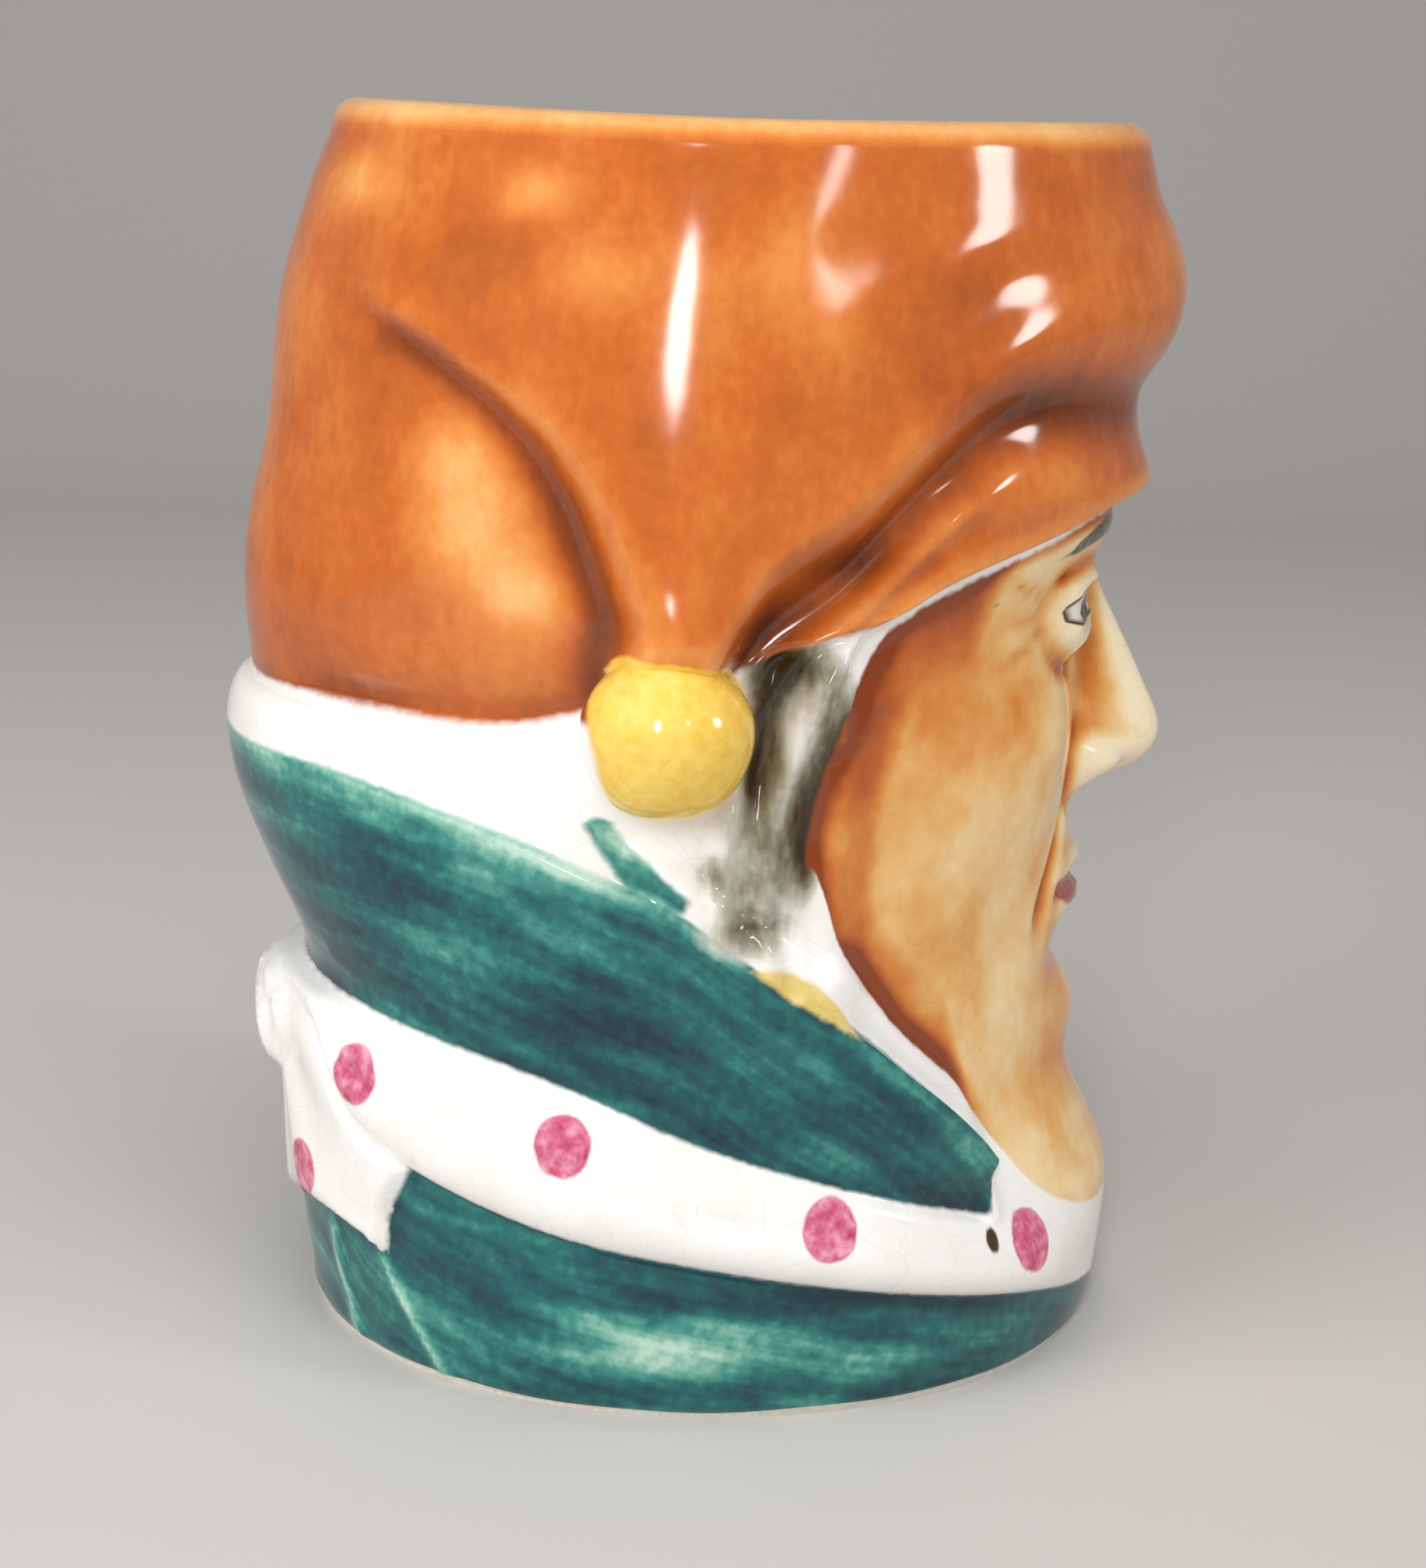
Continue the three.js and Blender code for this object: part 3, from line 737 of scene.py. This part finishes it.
AREAS["yellow_slip"] = yellow_slip
LOCK_LENGTH = 4.0
LOCK_WIDTH = 1.1
lock_place = node(tree, "CombineXYZ", {
    "X": sum_of(0.0, area("stroke_along"), 1 / LOCK_WIDTH),
    "Y": sum_of(0.0, node(tree, "SeparateXYZ", {"Vector": place}, "Z"), PER_MM / LOCK_LENGTH),
    "Z": drift,
})
lock_strokes = noise(lock_place, 1, 2, 0.6)
hair_load = sum_of(0.15, lock_strokes, 1.1, grain, 0.5)
hair_tone = sum_of(-0.1, product(area("hair_dark"), hair_load), 1.0)
hair_colour = shades(
    hair_tone, (0, "#F2EFE6"), (0.2, "#C6C3B4"), (0.42, "#8E8974"), (0.68, "#5A4F37"), (1, "#382915"),
)
colour = painted(colour, hair_colour, ramp(hair_tone, -0.03, 0.15))
# The skin's colour went on after the hair's, up to the edge of the locks.
colour = painted(colour, skin_colour, brush_edge(area("skin"), 0.5, 0.5))
smear = shades(grain, (0.25, "#E2C35A"), (0.75, "#EFDA94"))
colour = painted(colour, smear, brush_edge(area("yellow_slip"), 0.5, 0.6))

# ---- The cap -------------------------------------------------
# A knitted stocking cap, smooth in the clay: a soft bag whose point is drawn down over his right ear to
# the bobble. Amber colour under the glaze, honey on what stands proud and brown in the hollows, partly as
# thinner and pooled colour and partly as painted highlight and shade; along its two creases the brown is
# painted shade.
CAP_EDGE = [
    (0, 64), (15, 63.9), (28, 63.5), (40, 62.1), (52, 60.6), (61, 59.1), (70, 56.9), (78, 56), (85, 55),
    (90, 53.9), (98, 52.4), (105, 51.2), (112, 50.6), (122, 49.4), (132, 49.1), (141, 49.2), (152, 49.3),
    (170, 49.2), (180, 49.2),
]
CAP_FRONT = [
    (62, 31.6), (64.1, 32.1), (65.2, 31.8), (67.5, 31), (69.7, 30.8), (71, 31.1), (73.2, 32.4),
    (75.5, 33.4), (78.4, 33.8), (81, 33.1), (84.3, 31.4), (87, 30.6), (89, 30.2),
]
CAP_BACK = [
    (48, 33.9), (50, 34.1), (53, 34.4), (56.6, 34.4), (60, 34), (63.6, 33.2), (67, 32.6), (73.8, 32.1),
    (77.2, 31.5), (80.6, 30.5), (83.9, 29.4), (87.3, 28.1), (89, 27.7),
]
CAP_SIDE = [(48, 27.4), (56, 27.8), (64, 27.7), (72, 27.4), (80, 26.7), (86, 25.9), (89, 25.5)]
CREASE_AHEAD = [  # (angle, height)
    (-95, 50.6), (-91.5, 53.6), (-87, 57), (-76, 61), (-66, 65.6), (-57, 69), (-49, 71), (-39, 72.4),
    (-21, 72.4), (0, 71),
]
CREASE_BEHIND = [  # (height, angle)
    (51, -109), (56.3, -107.6), (58.5, -109), (61.3, -111.4), (63.8, -113.6), (65.7, -116),
    (68.1, -119.7), (69.9, -124), (71.4, -128.5), (72.6, -133), (74, -138), (77, -150),
]
FOLD_ANGLE = -97  # where the fold stands out most
FOLD_RADIUS = 31.1  # of its crest, at the bobble's height
FOLD_FOOT = 56  # the height from which it dies away upwards
FOLD_DEPTH = 3.3
BOBBLE_ANGLE = -100.0
# Paler and darker patches of the amber; the dark ones along the front crease, at -88 to -25 degrees, and on
# the rear crease at -137 degrees are painted shade.
CAP_THINNESS_AND_SHADE = [  # (angle, height, half width, half height, amount)
    (-127, 62, 4, 4.5, 0.34), (-131, 66.8, 3.2, 2.4, 0.24), (-119, 58, 3.2, 2.2, 0.3),
    (-155, 83.8, 5, 2.2, 0.34), (-121, 83.5, 3, 1.6, 0.32), (-82, 80, 5, 4, 0.14), (-96, 70, 3, 10, 0.1),
    (-40, 66, 6, 1.6, 0.12), (-76, 60.8, 5, 1.6, -0.3), (-88, 56.5, 3.5, 2, -0.3),
    (-46, 70.5, 7, 2.2, -0.38), (-25, 70, 7, 2, -0.25), (-150, 52, 9, 2.5, -0.1),
    (-137, 73.5, 6, 1.2, -0.1), (-112, 79, 4, 2.5, 0.16), (130, 70, 7, 8, 0.3), (60, 78, 9, 5, 0.25),
    (150, 56, 8, 3, 0.15), (35, 68, 8, 2.5, -0.2), (-10, 79, 8, 4, 0.14), (180, 72, 9, 6, 0.1),
]


def past_rear_crease(angle, height):
    """Millimetres into the fold past the crease behind it."""
    return (angle - through(CREASE_BEHIND, height)) * ARC


def cap_radius(angle, height):
    """The bag of the cap; the drawn-down fold stands out between a crease ahead of it and one behind
    it, and its crest is an even curve from the bobble up to the rim."""
    plain = oval(angle, through(CAP_FRONT, height), through(CAP_BACK, height), through(CAP_SIDE, height))
    ahead = 0.78 * (height - through(CREASE_AHEAD, angle))  # millimetres past the front crease
    behind = past_rear_crease(angle, height)
    on_right = band(angle, -165, 20, -2, 22)
    above_foot = height - FOLD_FOOT
    crest = FOLD_RADIUS - 0.0055 * np.maximum(above_foot, 0) ** 2 - through(CAP_SIDE, height)
    depth = mix(FOLD_DEPTH * (1 - step(above_foot / 27)), crest, hill(angle - FOLD_ANGLE, 24))
    fold = depth * step((np.minimum(ahead, behind) + 0.8) / 4.6)
    front_depth = through([(-100, 1.5), (-85, 1.7), (-66, 1.5), (-50, 1.1), (-34, 0.4), (-15, 0)], angle)
    front_crease = -front_depth * hill(ahead + 1.1, 1.9)
    ridge = 0.45 * hill(ahead + 3.4, 0.7) * step((-46 - angle) / 16)
    gutter = -0.35 * hill(ahead + 4.6, 0.9) * step((-52 - angle) / 16)
    rear_depth = through([(50, 0.4), (60, 0.4), (68, 0.35), (75, 0.25), (82, 0)], height)
    rear_crease = -rear_depth * hill(behind + 0.6, 3.0)
    rear_roll = 0.45 * hill(behind + 8, 6.5) * hill(height - 60, 8)
    point = 0.9 * hill((angle - BOBBLE_ANGLE - 1) * ARC, 4.6) * hill(height - 55.4, 3.6)
    pleats = 0.5 * np.sin(ahead * 0.55 + 1.1) * hill(angle + 52, 22)
    pleats = pleats * step((ahead - 2) / 4) * step((84 - height) / 5)
    moulded = fold + front_crease + ridge + gutter + rear_crease + rear_roll + point + pleats
    return plain + moulded * on_right


def crease_shade(angle, height):
    """Painted shade: the amber made darker along the rear crease."""
    line = hill(past_rear_crease(angle, height) + 1.1, 1.6)
    return -0.34 * line * band(height, 50, 3, 78, 14)


AREAS["cap"] = lambda angle, height: above(CAP_EDGE, angle, height) + 0.35
# Positive is paler, negative darker: thinner colour in patches and along the green's upper edge, paler over
# the lip, painted shade along the cap's creases and under the scarf, and a pale crest on each coat fold
# that is partly painted highlight.
AREAS["thin"] = lambda angle, height: (
    patches(CAP_THINNESS_AND_SHADE + GREEN_THINNESS_AND_SHADE, angle, height) + crease_shade(angle, height) + edge_wash(angle, height)
    + 0.4 * step((height - 87) / 1.5) + 0.42 * coat_folds(angle, height) ** 2
)
# Relief pales the amber on what stands proud and darkens it in hollows, partly as painted highlight and
# shade.
amber_tone = sum_of(0.13, cloud, 0.5, relief, 0.25, thin, 1.0, grain, 0.14, lock_strokes, 0.12)
amber_colour = shades(
    amber_tone, (0, "#5E2A0E"), (0.3, "#9C4A18"), (0.52, "#CB6826"), (0.72, "#E68E42"), (1, "#F8C37C"),
)
# Inside the lip the amber ends in a wavering line, a millimetre or two down.
amber_lip = ramp(sum_of(0.0, area("inner"), 1.0, cloud, 3.0), 3.2, 2.6)
colour = painted(colour, amber_colour, product(brush_edge(area("cap"), 0.4, 0.6), amber_lip))

# ---- The casting ---------------------------------------------
# The layers come together as one outside, rolled over the lip into a plain inside. The mould's lines are
# soft, because the glaze fills them.
COLUMNS = 360
SEAMS = (SCARF_LOW, SCARF_TOP, COLLAR_TOP, CAP_EDGE)
SEAM_MARKS = ((-0.5, 0.4), (-0.5, 0.5), (-0.6, 0.2, 1.6, 3.5), (-1.0, 0.2))  # millimetres above each seam
BAND_ROWS = (3, 34, 5, 16, 5, 36, 5, 4, 5, 60, 6, 62)  # from the foot up, between those marks
LIP_ROWS = 8
INSIDE_ROWS = 20
BOTTOM_ROWS = 6
FOOT_BEVEL = 0.5
INSIDE_FRONT = [(12, 27.4), (18, 24.8), (25, 23), (54, 23), (66, 25.6), (78, 28.2), (89, 26.6)]
INSIDE_BACK = [(4, 26.6), (26, 26.6), (45, 30.4), (60, 30), (76, 27.8), (89, 24.2)]
INSIDE_SIDE = [(4, 23.8), (24, 22.2), (46, 22.4), (60, 23.2), (76, 23.4), (89, 21.8)]


def outside_radius(angle, height):
    """The layers from the skin out, each over the last within its own edges."""
    throat = step((46 - np.abs(angle)) / 6) * step((20 - height) / 2)
    radius = mix(head_radius(angle, height), skin_radius(angle, height), throat)
    radius = mix(radius, collar_radius(angle, height), collar_cloth(angle, height))
    in_scarf = step((0.35 - above(SCARF_TOP, angle, height)) / 0.8)
    in_coat = step((0.3 - above(SCARF_LOW, angle, height)) / 0.7)
    in_cap = step(above(CAP_EDGE, angle, height) + 0.9)
    radius = mix(radius, scarf_radius(angle, height), in_scarf)
    radius = mix(radius, coat_radius(angle, height) + tail_relief(angle, height), in_coat)
    radius = mix(radius + knot_relief(angle, height), cap_radius(angle, height), in_cap)
    around = np.radians(angle)
    uneven = 0.05 * np.sin(height / 6 + around * 5) + 0.02 * np.sin(height / 3.4 - around * 9)
    bevel = FOOT_BEVEL * (1 - step(height / 0.9))
    return radius + uneven - bevel


def inside_radius(angle, height):
    """A plain oval that keeps the wall's thickness."""
    return oval(angle, *(through(line, height) for line in (INSIDE_FRONT, INSIDE_BACK, INSIDE_SIDE)))


def rim_wave(angle, height):
    """How far the mouth is out of level: the lip dips beside the temple and rises over the brow."""
    return 0.3 * np.sin(np.radians(angle * 2 + 100)) * step((height - 76) / 12)


def glaze_line(angle):
    """Height of the glaze's wavering lower edge, where the foot was wiped clean."""
    around = np.radians(angle)
    return 0.5 + 0.12 * np.sin(5 * around + 1) + 0.08 * np.sin(13 * around)


def column_angles():
    """Angles of the columns, closer together over the man's right cheek."""
    share = np.arange(COLUMNS) / COLUMNS
    return 360 * share - 180 - 17 * (np.sin(2 * np.pi * (share - 0.29)) + np.sin(2 * np.pi * 0.29))


def row_heights(angle):
    """Heights of the outside's rows, which follow the glaze line, the seams and the lip."""
    marks = [0 * angle, glaze_line(angle)]
    below_cap = through(CAP_EDGE, np.abs(angle)) + SEAM_MARKS[-1][0]
    for seam, offsets in zip(SEAMS, SEAM_MARKS):
        line = through(seam, np.abs(angle))
        highest = np.inf if seam is CAP_EDGE else below_cap
        marks += [np.minimum(line + offset, highest) for offset in offsets]
    marks.append(0 * angle + LIP_START)
    bands = [mix(a, b, np.arange(n)[:, None] / n) for a, b, n in zip(marks, marks[1:], BAND_ROWS)]
    return np.concatenate(bands + [marks[-1][None, :]])


def on_surface(angle, radius, height):
    """Points from an angle, a radius and a height."""
    around = np.radians(angle)
    return np.stack(np.broadcast_arrays(radius * np.sin(around), -radius * np.cos(around), height), -1)


def outside_points(angle):
    """The foot, the outside and the rounded lip, as one grid."""
    height = row_heights(angle)
    lip = np.linspace(0, np.pi, LIP_ROWS + 2)[1:-1, None]
    out, into = outside_radius(angle, LIP_START), inside_radius(angle, LIP_START)
    radius = np.concatenate([outside_radius(angle, height), mix(out, into, (1 - np.cos(lip)) / 2)])
    height = np.concatenate([height, LIP_START + LIP_RADIUS * np.sin(lip) + 0 * angle])
    return on_surface(angle, radius, height + rim_wave(angle, height))


def inside_points(angle):
    """The inside wall and its rounded turn into the bottom, as one grid."""
    wall = np.linspace(LIP_START, FLOOR + FILLET, INSIDE_ROWS)[:, None]
    bend = np.linspace(0, np.pi / 2, BOTTOM_ROWS + 1)[1:, None]
    bottom = inside_radius(angle, FLOOR + FILLET) - FILLET * (1 - np.cos(bend))
    radius = np.concatenate([inside_radius(angle, wall), bottom])
    height = np.concatenate([wall, FLOOR + FILLET * (1 - np.sin(bend))])
    return on_surface(angle, radius, height + rim_wave(angle, height))


def fan(ring, tip):
    """Triangles from each pair of neighbours in a ring of point numbers to one tip."""
    return np.stack([ring, np.roll(ring, -1), np.full_like(ring, tip)], -1).tolist()


def casting():
    """The outside joined to an inside with half as many columns, and both ends closed by fans."""
    angle = column_angles()
    outside, inside = outside_points(angle), inside_points(angle[::2])
    points = np.concatenate([outside.reshape(-1, 3), inside.reshape(-1, 3), [[0, 0, 0], [0, 0, FLOOR]]])
    start = outside.shape[0] * COLUMNS
    end = len(points) - 2
    faces = grid_faces(*outside.shape[:2], closed=True).tolist()
    faces += (start + grid_faces(*inside.shape[:2], closed=True)).tolist()
    lip = start - COLUMNS + np.arange(COLUMNS)
    below = start + np.arange(COLUMNS // 2)
    nearest, after, beside = lip[::2], lip[1::2], np.roll(lip, -2)[::2]
    faces += np.stack([nearest, after, below], -1).tolist()
    faces += np.stack([after, beside, np.roll(below, -1), below], -1).tolist()
    faces += fan(np.arange(COLUMNS)[::-1], end)
    faces += fan(end - COLUMNS // 2 + np.arange(COLUMNS // 2), end + 1)
    return points, faces


def closed_grid(points):
    """A grid closed round its columns, and by a fan at each end, as points and faces."""
    rows, columns = points.shape[:2]
    flat = points.reshape(-1, 3)
    count = rows * columns
    faces = grid_faces(rows, columns, closed=True).tolist()
    faces += fan(np.arange(columns)[::-1], count) + fan(count - columns + np.arange(columns), count + 1)
    return np.concatenate([flat, [flat[:columns].mean(0), flat[-columns:].mean(0)]]), faces


jug = mesh_object("painted_jug", *casting())

# ---- The bobble ----------------------------------------------
# A pompom in wool, a plain ball in the clay, cast with the cap's point. Painted yellow where the brush
# could reach.
BOBBLE_RADIUS = 5.75
BOBBLE_HEIGHT = 49.4
BOBBLE_STAND = 29.0  # its middle from the jug's axis
BOBBLE = on_surface(BOBBLE_ANGLE, BOBBLE_STAND, BOBBLE_HEIGHT)
YELLOW_TOP = 55.3
YELLOW_REACH = 1.9  # how far past the ball's middle, towards the body and the nape, the yellow goes


def bobble_points():
    """A ball by latitude and longitude, a little flatter from top to bottom and slightly lumpy."""
    latitude = np.linspace(-np.pi / 2, np.pi / 2, 34)[1:-1, None]
    longitude = np.linspace(0, 2 * np.pi, 56, endpoint=False)[None, :]
    radius = BOBBLE_RADIUS * (
        1 + 0.012 * np.sin(3 * longitude + 1) * np.cos(latitude) + 0.01 * np.sin(5 * latitude)
    )
    x = radius * np.cos(latitude) * np.cos(longitude)
    y = radius * np.cos(latitude) * np.sin(longitude)
    return np.stack(np.broadcast_arrays(x, y, 0.97 * radius * np.sin(latitude)), -1) + BOBBLE


yellow_tone = sum_of(0.0, cloud, 0.6, grain, 0.45)
yellow = shades(yellow_tone, (0.2, "#CE9328"), (0.42, "#F0C048"), (0.62, "#FAD464"), (0.85, "#FDE490"))
colour = painted(colour, yellow, brush_edge(area("bobble"), 0.5, 1.2))

# ---- The handle ----------------------------------------------
# A plain ear-shaped strap at his left side, pulled from the cap to the collar and thickened where it is
# luted on. Amber, like the cap.
HANDLE_TOP = 66.0
HANDLE_BOTTOM = 27.0
HANDLE_REACH = 15.0
HANDLE_WIDTH = 9.0
HANDLE_THICKNESS = 5.6
HANDLE_ROOTS = (26.2, 25.6)  # how far out its upper and lower ends start


def handle_points():
    """An oval section carried along a smooth path in the X-Z plane, wider at both ends."""
    tall = HANDLE_TOP - HANDLE_BOTTOM
    top, bottom = HANDLE_ROOTS
    path = [
        (top, HANDLE_TOP - 1),
        (top + 0.5 * HANDLE_REACH, HANDLE_TOP + 1.5),
        (top + 0.98 * HANDLE_REACH, HANDLE_TOP - 0.16 * tall),
        (top + HANDLE_REACH, HANDLE_TOP - 0.48 * tall),
        (bottom + 0.6 * HANDLE_REACH, HANDLE_TOP - 0.84 * tall),
        (bottom, HANDLE_BOTTOM),
    ]
    at = np.linspace(0, len(path) - 1, 40)
    x, z = (through(list(enumerate(values)), at) for values in zip(*path))
    along = np.stack([np.gradient(x), np.gradient(z)], -1)
    along = along / np.linalg.norm(along, axis=1, keepdims=True)
    flare = 1 + 0.45 * (hill(at, 0.32) + hill(at - len(path) + 1, 0.32))
    around = np.linspace(0, 2 * np.pi, 40, endpoint=False)[None, :]
    out = HANDLE_THICKNESS / 2 * flare[:, None] * np.cos(around)
    side = HANDLE_WIDTH / 2 * flare[:, None] * np.sin(around)
    return np.stack([x[:, None] - along[:, 1:] * out, side, z[:, None] + along[:, :1] * out], -1)


colour = painted(colour, amber_colour, brush_edge(area("handle"), 0.4, 0.6))

# ---- The finished jug ----------------------------------------
# The bobble and the handle join the casting as one closed skin. Each point of it is told where it is in the
# painting; then it is glazed, but for its wiped foot, and fired.


def join(piece):
    """Joins a piece to the casting as one closed skin and takes the loose piece away."""
    union = jug.modifiers.new("join", "BOOLEAN")
    union.operation = "UNION"
    union.solver = "MANIFOLD"
    union.object = piece
    joined = bpy.data.meshes.new_from_object(jug.evaluated_get(bpy.context.evaluated_depsgraph_get()))
    jug.modifiers.remove(union)
    jug.data = joined
    bpy.data.objects.remove(piece)


join(mesh_object("bobble", *closed_grid(bobble_points())))
join(mesh_object("handle", *closed_grid(handle_points())))


def store(name, values):
    """Keeps a value for each point of the mesh, for the glaze to read."""
    attribute = jug.data.attributes.new(name, "FLOAT", "POINT")
    attribute.data.foreach_set("value", np.asarray(values, np.float32))


def places_of(parts, kind):
    """Where the mesh's points or faces are, in millimetres."""
    flat = np.empty(len(parts) * 3, np.float32)
    parts.foreach_get(kind, flat)
    return flat.reshape(-1, 3).astype(float) / MM


points = places_of(jug.data.vertices, "co")
angle = np.degrees(np.arctan2(points[:, 0], -points[:, 1]))
radius = np.hypot(points[:, 0], points[:, 1])
height = points[:, 2]
RELIEF_REACH = 1.8  # how far round about a point its surroundings are felt
PAINTED_INSIDE = 5.0  # how far down inside the lip any colour reaches
compass = [(np.cos(a), np.sin(a)) for a in np.linspace(0, 2 * np.pi, 8, endpoint=False)]
beside = sum(
    outside_radius(wrapped(angle + RELIEF_REACH * c / ARC), height + RELIEF_REACH * s) for c, s in compass
) / len(compass)
outside = outside_radius(angle, height)
within = (radius < (outside + inside_radius(angle, height)) / 2) & (height > FLOOR - 1)
store("relief", np.where(within, 0, outside - beside))
left_white = within & (height < LIP_START - PAINTED_INSIDE)
for name, inside in AREAS.items():
    store(name, np.where(left_white, -9.0, inside(angle, height)))
store("inner", np.where(within, LIP_START - height, -5.0))
store("handle", np.where(points[:, 0] > 0, radius - outside - 0.6, -5.0))
# The yellow ends sharply where the ball meets the body, and softly where the brush stopped.
off_bobble = 4 * (BOBBLE_RADIUS + 0.3 - np.linalg.norm(points - BOBBLE, axis=1))
towards_body = 0.6 * (points[:, 0] - BOBBLE[0]) + 0.8 * (points[:, 1] - BOBBLE[1])
reached = YELLOW_REACH + 0.5 * np.maximum(height - BOBBLE_HEIGHT + 0.9, 0) - towards_body
store("bobble", np.minimum(np.minimum(off_bobble, YELLOW_TOP - height), reached))

CRAZE_CELL = 2.4  # a little coarser than the real 1 to 2 mm, so that the cells show
SWELL_WIDTH = 3.2
SWELL_HEIGHT = 0.03
cracks = node(tree, "TexVoronoi", {
    "Vector": place, "feature": "DISTANCE_TO_EDGE", "Scale": PER_MM / CRAZE_CELL,
})
colour = painted(colour, "#6E5A44", ramp(cracks, 0.0, 0.02, 0.1, 0))
swell_height = sum_of(0.0, noise(place, PER_MM / SWELL_WIDTH, 0), SWELL_HEIGHT)
bump = node(tree, "Bump", {"Height": swell_height, "Distance": MM, "Strength": 1.0})
surface = shader_of(glaze)
tree.links.new(colour, surface.inputs["Base Color"])
tree.links.new(bump, surface.inputs["Normal"])
surface.inputs["IOR"].default_value = 1.52

biscuit = new_material("bare_earthenware", 0.8)
bare = biscuit.node_tree
bare_place = node(bare, "TexCoord", {}, "Object")
bare_grain = node(bare, "TexNoise", {"Vector": bare_place, "Scale": PER_MM / 0.5, "Detail": 4})
bare_colour = node(bare, "ValToRGB", {"Fac": bare_grain, "stops": [(0.3, "#DDD6C8"), (0.6, "#EFEBE2")]})
bare_bump = node(bare, "Bump", {"Height": bare_grain, "Distance": 0.05 * MM, "Strength": 1.0})
bare.links.new(bare_colour, shader_of(biscuit).inputs["Base Color"])
bare.links.new(bare_bump, shader_of(biscuit).inputs["Normal"])

jug.data.materials.clear()
jug.data.materials.append(glaze)
jug.data.materials.append(biscuit)
faces = jug.data.polygons
centres = places_of(faces, "center")
face_angle = np.degrees(np.arctan2(centres[:, 0], -centres[:, 1]))
faces.foreach_set("material_index", (centres[:, 2] < glaze_line(face_angle)).astype(np.int32))
jug.data.set_sharp_from_angle(angle=np.radians(60))

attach(jug, "root")
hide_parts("jug")
